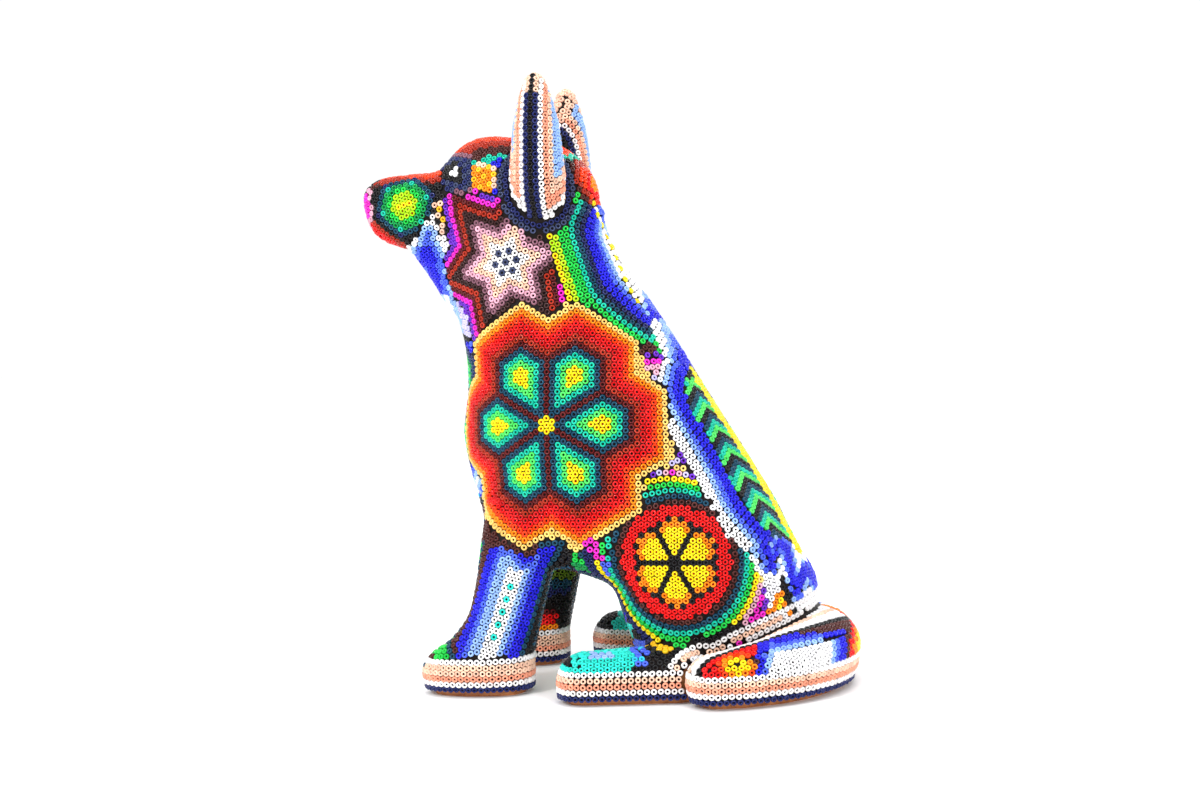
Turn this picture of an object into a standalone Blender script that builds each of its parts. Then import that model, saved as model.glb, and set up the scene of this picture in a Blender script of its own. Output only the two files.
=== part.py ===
"""Sitting coyote figure: carved wood, a coat of wax, and fields of glass beads pressed into it.

Worked in millimetres, with the nose towards -Y and the figure's left side towards +X,
and written out in metres. Every piece is a separate closed solid:
  core_*   wood: one carved block for the body, two ears on tenons, and the tail
  wax_*    the thin wax coat over each piece of wood
  beads_*  the bead layer, cut along the outlines of its motifs
"""

from math import cos, pi, radians, sin

import bmesh
import bpy
import numpy as np

BEAD = 1.3  # depth of the bead layer
GAP = 0.3  # clearance between neighbouring layers
WAX = 0.8
WAX_OUT = BEAD + GAP
WAX_IN = WAX_OUT + WAX
CORE = WAX_IN + GAP
SEAM = 0.15  # half the clearance between neighbouring bead fields
HEM = 2.3  # height of the skins' lower edge over the bare soles

for obj in list(bpy.data.objects):
    bpy.data.objects.remove(obj, do_unlink=True)


# ---------------------------------------------------------------- shape


def smin(a, b, k):
    h = np.clip(0.5 + 0.5 * (b - a) / k, 0.0, 1.0)
    return b + (a - b) * h - k * h * (1.0 - h)


def ellipsoid(P, c, r):
    x, y, z = P[..., 0] - c[0], P[..., 1] - c[1], P[..., 2] - c[2]
    k0 = np.sqrt((x / r[0]) ** 2 + (y / r[1]) ** 2 + (z / r[2]) ** 2)
    k1 = np.sqrt((x / r[0] ** 2) ** 2 + (y / r[1] ** 2) ** 2 + (z / r[2] ** 2) ** 2)
    return k0 * (k0 - 1.0) / np.maximum(k1, 1e-6)


def cone(P, a, b, ra, rb):
    a, b = np.array(a, float), np.array(b, float)
    ab = b - a
    q = P - a
    t = np.clip((q @ ab) / (ab @ ab), 0.0, 1.0)
    return np.linalg.norm(q - t[..., None] * ab, axis=-1) - (ra + (rb - ra) * t)


def smooth_rows(rows, count):
    """The rows of a table along its first column, resampled on a smooth curve."""
    rows = np.array(rows, float)
    s = rows[:, 0]
    slope = np.gradient(rows, s, axis=0)
    at = np.linspace(s[0], s[-1], count)
    i = np.clip(np.searchsorted(s, at, side="right") - 1, 0, len(s) - 2)
    h = (s[i + 1] - s[i])[:, None]
    t = ((at - s[i]) / (s[i + 1] - s[i]))[:, None]
    out = (
        (2 * t**3 - 3 * t**2 + 1) * rows[i]
        + (t**3 - 2 * t**2 + t) * h * slope[i]
        + (3 * t**2 - 2 * t**3) * rows[i + 1]
        + (t**3 - t**2) * h * slope[i + 1]
    )
    out[:, 0] = at
    return out


def column(P, rows, power):
    """Upright column of superellipse slices: height, front y, back y, half width."""
    z = P[..., 2]
    zc = np.clip(z, rows[0, 0], rows[-1, 0])
    front = np.interp(zc, rows[:, 0], rows[:, 1])
    back = np.interp(zc, rows[:, 0], rows[:, 2])
    w = np.interp(zc, rows[:, 0], rows[:, 3])
    b = (back - front) / 2
    u = np.abs(P[..., 0]) / w
    v = np.abs(P[..., 1] - (front + back) / 2) / b
    k0 = (u**power + v**power + 1e-12) ** (1 / power)
    g = np.sqrt((u ** (power - 1) / w) ** 2 + (v ** (power - 1) / b) ** 2)
    g = g / np.maximum(k0, 1e-6) ** (power - 1)
    d = np.clip((k0 - 1.0) / np.maximum(g, 1e-3), -40, 60)
    return np.maximum(d, np.maximum(z - rows[-1, 0], rows[0, 0] - z))


TORSO = smooth_rows(
    [
        (-6, 11, 62, 26),
        (8, 9, 66, 27.5),
        (20, 7, 68.5, 29),
        (33, 1, 68.5, 30),
        (42, -26, 64, 30.5),
        (50, -38, 60, 31),
        (60, -41.5, 55.3, 31),
        (70, -44, 49.7, 31),
        (83, -45.8, 42, 30.5),
        (97, -43.8, 33.8, 28.5),
        (111, -44.2, 26, 25.5),
        (125, -47.4, 17.5, 22),
        (140, -50, 8.5, 19.5),
        (152, -48, 2, 18),
    ],
    120,
)

LEG = smooth_rows(
    [
        (-8, -55, -21, 9),
        (0, -56, -20.5, 10.5),
        (5, -57.3, -20, 11.8),
        (9, -57, -20, 12),
        (13, -54, -19.6, 11.4),
        (17, -48, -18.8, 10.6),
        (23, -42.5, -17.2, 9.8),
        (33, -38.8, -14.5, 9.6),
        (42, -37.2, -12, 9.8),
        (52, -36, -9, 8.8),
        (60, -33, -12, 6),
    ],
    90,
)

TAIL = smooth_rows(
    [
        (0, 40.1, 42.4, 8.0, 7.9),
        (1, 36.6, 50.4, 8.8, 8.6),
        (2, 29.9, 59.6, 10.0, 9.3),
        (3, 19.6, 66.6, 11.5, 10.1),
        (4, 8.0, 69.0, 12.5, 10.7),
        (5, -5.5, 66.0, 12.5, 11.0),
    ],
    19,
)
TAIL_WIDE = 1.3  # the tail is this much wider than it is tall


def mirror(P):
    Q = P.copy()
    Q[..., 0] = np.abs(Q[..., 0])
    return Q


def settle(P, z0, k):
    """Below z0 the height counts only k times, so a round section stands on steep sides."""
    Q = P.copy()
    Q[..., 2] = np.where(P[..., 2] < z0, z0 + (P[..., 2] - z0) * k, P[..., 2])
    return Q


def ear(P):
    """One upright ear, with x counted outwards."""
    z = P[..., 2]
    zz = [149, 152, 157, 165, 181, 190, 195.5, 198]
    a = np.interp(z, zz, [3.0, 6.4, 8.4, 9.0, 7.8, 5.8, 3.4, 0.8])
    b = np.interp(z, zz, [3.0, 6.6, 8.8, 9.4, 7.6, 5.4, 3.2, 0.8])
    yc = np.interp(z, [149, 160, 198], [-13.8, -13.2, -12.0])
    xc = np.interp(z, [149, 160, 198], [14.5, 18.2, 20.5])
    p = 1.65
    u = np.abs(P[..., 0] - xc) / a
    v = np.abs(P[..., 1] - yc) / b
    k0 = (u**p + v**p + 1e-9) ** (1 / p)
    d = (k0 - 1) * np.minimum(a, b) * 0.85
    return np.maximum(d, np.maximum(z - 197.5, 149 - z))


def tail(P):
    d = None
    flat = np.array([1 / TAIL_WIDE, 1 / TAIL_WIDE, 1.0])
    for a, b in zip(TAIL, TAIL[1:]):
        q = settle(P, (a[3] + b[3]) / 2, 0.55) * flat
        q = cone(q, a[1:4] * flat, b[1:4] * flat, a[4], b[4])
        d = q if d is None else np.minimum(d, q)
    return d


def snout(P):
    y, z = P[..., 1] + 60, P[..., 2] - 157.4
    y = y + 0.22 * z
    wide = 11.4 * np.interp(P[..., 1], [-80, -45], [0.92, 1.08])
    p = 2.7
    k0 = (np.abs(P[..., 0]) / wide) ** p + (np.abs(y) / 17.6) ** p
    k0 = (k0 + (np.abs(z) / 12.3) ** p + 1e-9) ** (1 / p)
    return (k0 - 1) * 11.5


def head(P):
    d = ellipsoid(P, (0, -22, 157.5), (20, 24.5, 21.5))
    d = smin(d, ellipsoid(P, (0, -33.5, 164.5), (14.5, 17, 16.2)), 4)
    d = smin(d, cone(P, (0, -38, 157.5), (0, -58, 157.5), 14.5, 11.6), 5)
    d = smin(d, cone(P, (0, -57, 151.5), (0, -45, 134), 8.6, 9.0), 5)
    return smin(d, snout(P), 2.5)


def legs(P):
    Q = mirror(P)
    z = Q[..., 2]
    Q[..., 0] = Q[..., 0] - np.interp(z, [0, 20, 42, 60], [23.5, 23.5, 21.5, 17])
    return column(Q, LEG, 2.3)


def hinds(P):
    Q = mirror(P)
    haunch = ellipsoid(Q, (15, 32.5, 38), (20.5, 26.3, 31.5))
    R = settle(Q, 6.0, 0.55)
    R[..., 1] = R[..., 1] + np.where(P[..., 0] > 0, 0.0, 5.0)
    return smin(haunch, cone(R, (36.0, 0.3, 5.8), (31, 28, 6.5), 9.8, 10.5), 5)


def body(P):
    d = smin(column(P, TORSO, 2.2), hinds(P), 6)
    d = smin(d, legs(P), 7)
    return smin(d, head(P), 7)


# ---------------------------------------------------------------- meshing


def surface(f, lo, hi, h):
    """Triangles of f = 0 on a grid of step h, facing out."""
    ax = [np.arange(a, b + h, h) for a, b in zip(lo, hi)]
    G = np.stack(np.meshgrid(*ax, indexing="ij"), -1)
    V = f(G.reshape(-1, 3)).reshape(G.shape[:3])
    S = V < 0
    n = np.array(S.shape) - 1
    count = np.zeros(tuple(n))
    total = np.zeros(tuple(n) + (3,))
    for a in [(i, j, k) for i in (0, 1) for j in (0, 1) for k in (0, 1)]:
        for b in range(3):
            if a[b]:
                continue
            e = list(a)
            e[b] = 1
            sa = tuple(slice(a[m], a[m] + n[m]) for m in range(3))
            sb = tuple(slice(e[m], e[m] + n[m]) for m in range(3))
            cross = S[sa] != S[sb]
            t = np.where(cross, V[sa] / np.where(cross, V[sa] - V[sb], 1), 0)
            p = G[sa] + (G[sb] - G[sa]) * t[..., None]
            total += np.where(cross[..., None], p, 0)
            count += cross
    used = count > 0
    index = -np.ones(tuple(n), int)
    index[used] = np.arange(used.sum())
    points = total[used] / count[used][:, None]
    quads = []
    for b in range(3):
        o = [m for m in range(3) if m != b]
        s0, s1 = [slice(None)] * 3, [slice(None)] * 3
        s0[b], s1[b] = slice(0, n[b]), slice(1, n[b] + 1)
        for m in o:
            s0[m] = s1[m] = slice(1, n[m])
        low, high = S[tuple(s0)], S[tuple(s1)]
        found = np.argwhere(low != high)
        inside = low[tuple(found.T)]
        found[:, o[0]] += 1
        found[:, o[1]] += 1
        corner = []
        for d0, d1 in ((1, 1), (0, 1), (0, 0), (1, 0)):
            q = found.copy()
            q[:, o[0]] -= d0
            q[:, o[1]] -= d1
            corner.append(index[tuple(q.T)])
        q = np.stack(corner, 1)
        turn = inside if b == 1 else ~inside
        q[turn] = q[turn][:, ::-1]
        quads.append(q)
    q = np.concatenate(quads)
    return points, np.concatenate([q[:, [0, 1, 2]], q[:, [0, 2, 3]]])


def to_mesh(name, points, faces):
    mesh = bpy.data.meshes.new(name)
    mesh.from_pydata((np.asarray(points) / 1000).tolist(), [], np.asarray(faces).tolist())
    return mesh


def from_mesh(mesh):
    mesh.calc_loop_triangles()
    points = np.empty(len(mesh.vertices) * 3)
    mesh.vertices.foreach_get("co", points)
    faces = np.empty(len(mesh.loop_triangles) * 3, np.int32)
    mesh.loop_triangles.foreach_get("vertices", faces)
    return points.reshape(-1, 3) * 1000, faces.reshape(-1, 3)


def reduce(points, faces, target):
    """The same surface in about `target` triangles."""
    mesh = to_mesh("reduce", points, faces)
    obj = bpy.data.objects.new("reduce", mesh)
    bpy.context.scene.collection.objects.link(obj)
    m = obj.modifiers.new("fewer", "DECIMATE")
    m.ratio = target / len(faces)
    m.use_collapse_triangulate = True
    bpy.context.view_layer.update()
    done = obj.evaluated_get(bpy.context.evaluated_depsgraph_get())
    result = from_mesh(done.to_mesh())
    done.to_mesh_clear()
    bpy.data.objects.remove(obj, do_unlink=True)
    return result


def inward(points, faces):
    """For each vertex the step that moves all its faces inwards by 1."""
    a, b, c = (points[faces[:, k]] for k in range(3))
    n = np.cross(b - a, c - a)
    area = np.linalg.norm(n, axis=1)
    n = n / np.maximum(area, 1e-12)[:, None]
    A = np.zeros((len(points), 3, 3))
    B = np.zeros((len(points), 3))
    for k in range(3):
        o = points[faces[:, (k + 1) % 3]] - points[faces[:, k]]
        p = points[faces[:, (k + 2) % 3]] - points[faces[:, k]]
        ang = np.arccos(
            np.clip(
                np.einsum("ij,ij->i", o, p)
                / np.maximum(np.linalg.norm(o, axis=1) * np.linalg.norm(p, axis=1), 1e-12),
                -1,
                1,
            )
        )
        np.add.at(A, faces[:, k], ang[:, None, None] * n[:, :, None] * n[:, None, :])
        np.add.at(B, faces[:, k], ang[:, None] * n)
    mean = B / np.maximum(np.linalg.norm(B, axis=1), 1e-12)[:, None]
    A = A + 0.06 * np.trace(A, axis1=1, axis2=2)[:, None, None] * np.eye(3)
    B = B + 0.06 * np.einsum("ijj->i", A)[:, None] * mean
    d = np.linalg.solve(A, B[..., None])[..., 0]
    size = np.linalg.norm(d, axis=1)
    d = d * (np.clip(size, 1.0, 1.35) / np.maximum(size, 1e-9))[:, None]
    return -d


def clip(patch, keep):
    """The part of an open patch where keep(points) is negative."""
    points, steps, faces = patch
    if not len(faces):
        return patch
    g = keep(points)
    g = np.where(np.abs(g) < 0.12, 0.0, g)
    new_points, new_steps = list(points), list(steps)
    cut = {}
    out = []

    def middle(i, j):
        key = (min(i, j), max(i, j))
        if key not in cut:
            i, j = key
            t = g[i] / (g[i] - g[j])
            cut[key] = len(new_points)
            new_points.append(points[i] + (points[j] - points[i]) * t)
            new_steps.append(steps[i] + (steps[j] - steps[i]) * t)
        return cut[key]

    for f in faces:
        s = g[f]
        if (s <= 0).all():
            if (s < 0).any():
                out.append(tuple(f))
            continue
        if (s >= 0).all():
            continue
        ring = []
        for k in range(3):
            i, j = f[k], f[(k + 1) % 3]
            if g[i] <= 0:
                ring.append(i)
            if g[i] * g[j] < 0:
                ring.append(middle(i, j))
        for k in range(1, len(ring) - 1):
            out.append((ring[0], ring[k], ring[k + 1]))
    used, back = np.unique(np.array(out).reshape(-1), return_inverse=True)
    return (
        np.array(new_points)[used],
        np.array(new_steps)[used],
        back.reshape(-1, 3),
    )


def largest(patch):
    """Only the largest connected part, and nothing that hangs on by one corner."""
    points, steps, faces = patch
    edge = {}
    for n, f in enumerate(faces):
        for k in range(3):
            i, j = f[k], f[(k + 1) % 3]
            edge.setdefault((min(i, j), max(i, j)), []).append(n)
    root = list(range(len(faces)))

    def find(a):
        while root[a] != a:
            root[a] = root[root[a]]
            a = root[a]
        return a

    for pair in edge.values():
        for other in pair[1:]:
            root[find(pair[0])] = find(other)
    group = np.array([find(n) for n in range(len(faces))])
    a, b, c = (points[faces[:, k]] for k in range(3))
    area = np.linalg.norm(np.cross(b - a, c - a), axis=1) / 2
    best = max(sorted(set(group.tolist())), key=lambda r: area[group == r].sum())
    lost = area[group != best].sum()
    faces = faces[group == best]
    used, back = np.unique(faces.reshape(-1), return_inverse=True)
    return (points[used], steps[used], back.reshape(-1, 3)), lost


def unpinch(patch):
    """Gives each fan of faces round a shared corner its own vertex."""
    points, steps, faces = patch
    points, steps, faces = list(points), list(steps), faces.copy()
    around = {}
    for n, f in enumerate(faces):
        for v in f:
            around.setdefault(v, []).append(n)
    for v, near in around.items():
        left = set(near)
        fans = []
        while left:
            fan, todo = set(), [min(left)]
            while todo:
                n = todo.pop()
                if n in fan:
                    continue
                fan.add(n)
                ends = set(faces[n]) - {v}
                todo += [m for m in left if m not in fan and ends & (set(faces[m]) - {v})]
            left -= fan
            fans.append(sorted(fan))
        for fan in fans[1:]:
            centre = np.mean([np.mean([points[w] for w in faces[n]], axis=0) for n in fan], axis=0)
            new = len(points)
            points.append(points[v] + 0.08 * (centre - points[v]))
            steps.append(steps[v])
            for n in fan:
                faces[n][faces[n] == v] = new
    return np.array(points), np.array(steps), faces


def shell(patch, outer, inner):
    """The closed solid between two depths under a patch."""
    points, steps, faces = patch
    n = len(points)
    top = points + steps * outer
    low = points + steps * inner
    edges = {}
    for f in faces:
        for k in range(3):
            edges[(f[k], f[(k + 1) % 3])] = True
    wall = []
    for i, j in edges:
        if (j, i) not in edges:
            wall += [(j, i, i + n), (j, i + n, j + n)]
    return np.concatenate([top, low]), np.concatenate(
        [faces, faces[:, ::-1] + n, np.array(wall)]
    )


# ---------------------------------------------------------------- pieces

LO, HI = (-54, -84, -6), (58, 92, 200)
body_points, body_faces = reduce(*surface(body, LO, HI, 2.0), 1300)
tail_points, tail_faces = reduce(*surface(tail, (-24, 26, -6), (58, 92, 30), 1.5), 240)
ear_points, ear_faces = reduce(*surface(ear, (2, -30, 146), (34, 4, 200), 1.2), 170)

body_in = inward(body_points, body_faces)
tail_in = inward(tail_points, tail_faces)
ear_in = inward(ear_points, ear_faces)
flip = np.array([-1.0, 1.0, 1.0])
ears = {
    "left": (ear_points, ear_in, ear_faces),
    "right": (ear_points * flip, ear_in * flip, ear_faces[:, ::-1]),
}
SHIFT = np.array([-2.12, -2.26, 0.0])


def colour(obj, rgb, rough, metal=0.0):
    m = bpy.data.materials.new(obj.name)
    m.use_nodes = True
    p = m.node_tree.nodes["Principled BSDF"]
    p.inputs["Base Color"].default_value = (*rgb, 1.0)
    p.inputs["Roughness"].default_value = rough
    p.inputs["Metallic"].default_value = metal
    m.diffuse_color = (*rgb, 1.0)
    obj.data.materials.clear()
    obj.data.materials.append(m)


def piece(name, points, faces, rgb, rough=0.3):
    obj = bpy.data.objects.new(name, to_mesh(name, points + SHIFT, faces))
    bpy.context.scene.collection.objects.link(obj)
    colour(obj, rgb, rough)
    return obj


def loose(name, points, faces):
    """A helper solid, removed once it has been used."""
    obj = bpy.data.objects.new(name, to_mesh(name, points + SHIFT, faces))
    bpy.context.scene.collection.objects.link(obj)
    return obj


def cut_flat(obj, z=0.0):
    """Cuts a solid off level at height z and closes it."""
    bm = bmesh.new()
    bm.from_mesh(obj.data)
    geom = bm.verts[:] + bm.edges[:] + bm.faces[:]
    bmesh.ops.bisect_plane(
        bm, geom=geom, dist=1e-6, plane_co=(0, 0, z), plane_no=(0, 0, 1), clear_inner=True
    )
    rim = [e for e in bm.edges if e.is_boundary]
    bmesh.ops.holes_fill(bm, edges=rim, sides=0)
    bmesh.ops.triangulate(bm, faces=[f for f in bm.faces if len(f.verts) > 3])
    bmesh.ops.dissolve_degenerate(bm, dist=2e-5, edges=bm.edges[:])
    bmesh.ops.triangulate(bm, faces=[f for f in bm.faces if len(f.verts) > 3])
    bm.to_mesh(obj.data)
    bm.free()


def combine(obj, other, operation):
    """Applies a Boolean with a helper, then removes the helper."""
    m = obj.modifiers.new("cut", "BOOLEAN")
    m.operation = operation
    m.solver = "EXACT"
    m.object = other
    bpy.context.view_layer.update()
    done = obj.evaluated_get(bpy.context.evaluated_depsgraph_get())
    mesh = bpy.data.meshes.new_from_object(done)
    obj.modifiers.clear()
    old = obj.data
    obj.data = mesh
    bpy.data.meshes.remove(old)
    bpy.data.objects.remove(other, do_unlink=True)


def tidy(obj):
    """Keeps the largest island of a solid and drops slivers."""
    bm = bmesh.new()
    bm.from_mesh(obj.data)
    bmesh.ops.remove_doubles(bm, verts=bm.verts[:], dist=2e-5)
    bmesh.ops.dissolve_degenerate(bm, dist=2e-5, edges=bm.edges[:])
    bmesh.ops.triangulate(bm, faces=[f for f in bm.faces if len(f.verts) > 3])
    left = set(bm.verts)
    groups = []
    while left:
        seed = min(left, key=lambda v: v.index)
        group, todo = set(), [seed]
        while todo:
            v = todo.pop()
            if v in group:
                continue
            group.add(v)
            todo += [e.other_vert(v) for e in v.link_edges]
        left -= group
        groups.append(group)
    groups.sort(key=len)
    for group in groups[:-1]:
        bmesh.ops.delete(bm, geom=list(group), context="VERTS")
    bm.to_mesh(obj.data)
    bm.free()


def rod(name, a, b, r):
    """A round rod between two points, of 20 sides."""
    a, b = np.array(a, float), np.array(b, float)
    w = (b - a) / np.linalg.norm(b - a)
    u = np.cross(w, (0, 1, 0))
    u /= np.linalg.norm(u)
    v = np.cross(w, u)
    n = 20
    ring = [u * cos(2 * pi * k / n) * r + v * sin(2 * pi * k / n) * r for k in range(n)]
    points = np.array([a + p for p in ring] + [b + p for p in ring] + [a, b])
    faces = []
    for k in range(n):
        m = (k + 1) % n
        faces += [(k, m, m + n), (k, m + n, k + n), (2 * n, m, k), (2 * n + 1, k + n, m + n)]
    return loose(name, points, np.array(faces))


WOOD = (0.45, 0.25, 0.12)
core = piece("core_body", body_points + body_in * CORE, body_faces, WOOD, 0.6)
cut_flat(core)
for side, k in (("left", 1), ("right", -1)):
    socket = rod("socket", (16.6 * k, -13.3, 168), (7.0 * k, -13.9, 153.0), 3.0)
    combine(core, socket, "DIFFERENCE")
tidy(core)
colour(core, WOOD, 0.6)

grown = body_points + body_in * (CORE - GAP)
for side, k in (("left", 1), ("right", -1)):
    p, s, f = ears[side]
    wood = piece("core_ear_" + side, p + s * CORE, f, WOOD, 0.6)
    combine(wood, loose("head", grown, body_faces), "DIFFERENCE")
    tidy(wood)
    tenon = rod("tenon", (17.6 * k, -13.25, 169.5), (7.4 * k, -13.87, 153.6), 2.7)
    combine(wood, tenon, "UNION")
    tidy(wood)
    colour(wood, WOOD, 0.6)

wood = piece("core_tail", tail_points + tail_in * CORE, tail_faces, WOOD, 0.6)
combine(wood, loose("rump", grown, body_faces), "DIFFERENCE")
cut_flat(wood)
tidy(wood)
colour(wood, WOOD, 0.6)

# Open patches: the body without what the ears and the tail cover, and the others clear of the body.


def hem(P):
    return HEM - P[:, 2]


def off(f, d):
    return lambda P: d - f(P)


whole = clip((body_points, body_in, body_faces), hem)
whole = clip(whole, off(lambda P: ear(mirror(P)), 0.5))
whole = clip(whole, off(tail, 1.1))
whole, _ = largest(whole)
tail_patch = clip(clip((tail_points, tail_in, tail_faces), hem), off(body, 0.5))
tail_patch, _ = largest(tail_patch)

DARK = (0.05, 0.04, 0.03)


def coat(name, patch):
    p, f = shell(unpinch(patch), WAX_OUT, WAX_IN)
    piece(name, p, f, DARK, 0.45)


coat("wax_body", whole)
coat("wax_tail", tail_patch)
ear_patch = {}
for side, (p, s, f) in ears.items():
    ear_patch[side], _ = largest(clip((p, s, f), off(body, 0.5)))
    coat("wax_ear_" + side, ear_patch[side])

# ---------------------------------------------------------------- bead fields


def outline(corners):
    """Distance to a closed outline in the side view, negative inside."""
    c = np.array(corners, float)

    def f(P):
        q = P[:, 1:3]
        best = np.full(len(q), 1e9)
        inside = np.zeros(len(q), bool)
        for a, b in zip(c, np.roll(c, -1, axis=0)):
            e = b - a
            t = np.clip(((q - a) @ e) / (e @ e), 0, 1)
            best = np.minimum(best, np.linalg.norm(q - a - t[:, None] * e, axis=1))
            over = (a[1] > q[:, 1]) != (b[1] > q[:, 1])
            x = a[0] + (q[:, 1] - a[1]) * e[0] / (e[1] if e[1] else 1e-9)
            inside ^= over & (q[:, 0] < x)
        return np.where(inside, -best, best)

    return f


def lobed(centre, radius, wave, lobes, turn=0.0, count=36):
    at = [2 * pi * k / count for k in range(count)]
    rr = [radius + wave * cos(lobes * (t - turn)) for t in at]
    return outline([(centre[0] + r * cos(t), centre[1] + r * sin(t)) for r, t in zip(rr, at)])


def apart(f, half):
    """f, only on the flanks: farther than `half` from the middle plane."""
    return lambda P: np.maximum(f(P), half - np.abs(P[:, 0]))


def front_line(P):
    y = np.interp(P[:, 2], [40, 60, 84, 100, 112, 125, 138, 150, 158], [-34, -36, -38, -37, -38, -40, -43, -50, -53])
    return P[:, 1] - y


def back_line(P):
    """Signed distance to the edge of the panel along the back."""
    y = np.interp(P[:, 2], [16, 28, 45, 60, 80, 100, 116], [56, 51, 47, 40, 29, 20, 17])
    return y - P[:, 1]


def leg_line(P):
    """Behind the front legs, clear of the hind paws' tips."""
    return P[:, 1] - np.interp(P[:, 2], [15, 22], [-17, -4])


flower = apart(lobed((-11, 85), 36.0, 2.5, 6), 12)
wheel = apart(lobed((29, 43.5), 23.5, 0.0, 1), 9)
star = apart(
    outline([(-60, 157), (-60, 128), (-41, 112), (-8, 112), (-7, 128), (-8, 149), (-16, 152), (-30, 156), (-38, 155)]), 5
)
roundel = apart(lobed((-61.5, 157.8), 10.6, 0.0, 1, count=24), 3.5)
REGIONS = [
    ("foot_border", 2, lambda P: np.maximum(P[:, 2] - 11.0, P[:, 1] + 15.0), (0.86, 0.55, 0.45)),
    ("snout_roundel", 2, roundel, (0.10, 0.60, 0.16)),
    ("snout", 1, lambda P: np.maximum(P[:, 1] + 51.0, 142.5 - P[:, 2]), (0.42, 0.06, 0.03)),
    ("crown", 1, lambda P: np.maximum(154.5 - P[:, 2] + 0.12 * (P[:, 1] + 30), P[:, 1] + 3.5), (0.30, 0.07, 0.05)),
    ("throat", 1, lambda P: np.maximum(front_line(P), 106 - P[:, 2]), (0.25, 0.45, 0.90)),
    ("chest", 1, lambda P: np.maximum(np.maximum(front_line(P), np.abs(P[:, 0]) - 13.5), 44 - P[:, 2]), (0.06, 0.25, 0.55)),
    ("star", 2, lambda P: np.maximum(star(P), 12 - 0 * P[:, 0] - np.abs(P[:, 0]) - 8), (0.55, 0.20, 0.18)),
    ("flower", 2, flower, (0.80, 0.14, 0.03)),
    ("neck", 1, lambda P: np.maximum(-7.5 - P[:, 1], 107 - P[:, 2]), (0.04, 0.35, 0.25)),
    ("front_leg", 2, lambda P: np.maximum(np.maximum(P[:, 2] - 58, leg_line(P)), 8 - np.abs(P[:, 0])), (0.10, 0.14, 0.75)),
    ("back", 1, lambda P: np.maximum(back_line(P), 24 - P[:, 2]), (0.10, 0.50, 0.40)),
    ("wheel", 2, lambda P: np.maximum(wheel(P), 19.5 - P[:, 2]), (0.78, 0.08, 0.04)),
    ("hind_paw", 2, lambda P: np.maximum(np.maximum(P[:, 2] - 19.5, P[:, 1] - 34), 15 - np.abs(P[:, 0])), (0.30, 0.70, 0.68)),
    ("rump_border", 2, lambda P: np.maximum(P[:, 2] - 33, 34 - P[:, 1]), (0.80, 0.62, 0.52)),
    ("flank", 2, lambda P: np.maximum(9 - np.abs(P[:, 0]), 60 - P[:, 2]), (0.22, 0.10, 0.30)),
    ("haunch_front", 2, lambda P: 9 - np.abs(P[:, 0]), (0.10, 0.35, 0.12)),
]

rest = whole
for name, sides, region, rgb in REGIONS:
    inside = clip(rest, lambda P: region(P) + SEAM)
    rest = clip(rest, lambda P: SEAM - region(P))
    if sides == 1:
        patch, _ = largest(inside)
        p, f = shell(unpinch(patch), 0.0, BEAD)
        piece("beads_" + name, p, f, rgb)
        continue
    for side, k in (("left", 1), ("right", -1)):
        half = clip(inside, lambda P: 0.2 - k * P[:, 0])
        patch, _ = largest(half)
        p, f = shell(unpinch(patch), 0.0, BEAD)
        piece("beads_" + name + "_" + side, p, f, rgb)
patch, _ = largest(rest)
p, f = shell(unpinch(patch), 0.0, BEAD)
piece("beads_belly", p, f, (0.05, 0.06, 0.05))

for side in ("left", "right"):
    p, f = shell(unpinch(ear_patch[side]), 0.0, BEAD)
    piece("beads_ear_" + side, p, f, (0.88, 0.66, 0.58))


def tail_border(P):
    """The pale rows low round the tail's outer side."""
    return P[:, 2] - np.interp(P[:, 1], [30, 44, 80], [9.5, 8.5, 9.5])


for name, keep, rgb in (
    ("tail_border", lambda P: tail_border(P) + SEAM, (0.85, 0.60, 0.50)),
    ("tail_field", lambda P: SEAM - tail_border(P), (0.70, 0.16, 0.05)),
):
    patch, _ = largest(clip(tail_patch, keep))
    p, f = shell(unpinch(patch), 0.0, BEAD)
    piece("beads_" + name, p, f, rgb)
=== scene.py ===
"""Looks for the beaded coyote figure: every glass bead as its own ring, set in dark wax.

The figure is worked in millimetres in the same working frame as its outline functions: nose towards -Y,
the figure's left side towards +X, floor at z = 0. SHIFT takes it to the row frame.
"""

from math import cos, pi, radians, sin

import bpy
import numpy as np
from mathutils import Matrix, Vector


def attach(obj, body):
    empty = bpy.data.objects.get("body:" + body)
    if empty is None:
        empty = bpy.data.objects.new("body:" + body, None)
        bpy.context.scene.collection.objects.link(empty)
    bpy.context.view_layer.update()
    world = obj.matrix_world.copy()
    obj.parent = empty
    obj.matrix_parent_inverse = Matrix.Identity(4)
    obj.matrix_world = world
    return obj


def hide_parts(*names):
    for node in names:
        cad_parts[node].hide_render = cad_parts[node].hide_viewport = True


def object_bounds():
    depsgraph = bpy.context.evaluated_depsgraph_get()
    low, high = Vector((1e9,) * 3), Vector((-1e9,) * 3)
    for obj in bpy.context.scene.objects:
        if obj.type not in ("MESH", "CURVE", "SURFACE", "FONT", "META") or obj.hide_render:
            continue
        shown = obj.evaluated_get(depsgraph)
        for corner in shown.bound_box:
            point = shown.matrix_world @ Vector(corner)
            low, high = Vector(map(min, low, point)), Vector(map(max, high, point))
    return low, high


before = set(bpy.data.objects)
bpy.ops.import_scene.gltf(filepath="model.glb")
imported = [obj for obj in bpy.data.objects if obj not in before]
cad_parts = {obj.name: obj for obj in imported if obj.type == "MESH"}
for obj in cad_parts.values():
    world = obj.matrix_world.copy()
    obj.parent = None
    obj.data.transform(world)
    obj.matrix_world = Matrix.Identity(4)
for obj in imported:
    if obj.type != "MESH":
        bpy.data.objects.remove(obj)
cad_box = [list(c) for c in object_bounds()]
SHIFT = np.array([-2.12, -2.26, 0.0])

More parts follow.
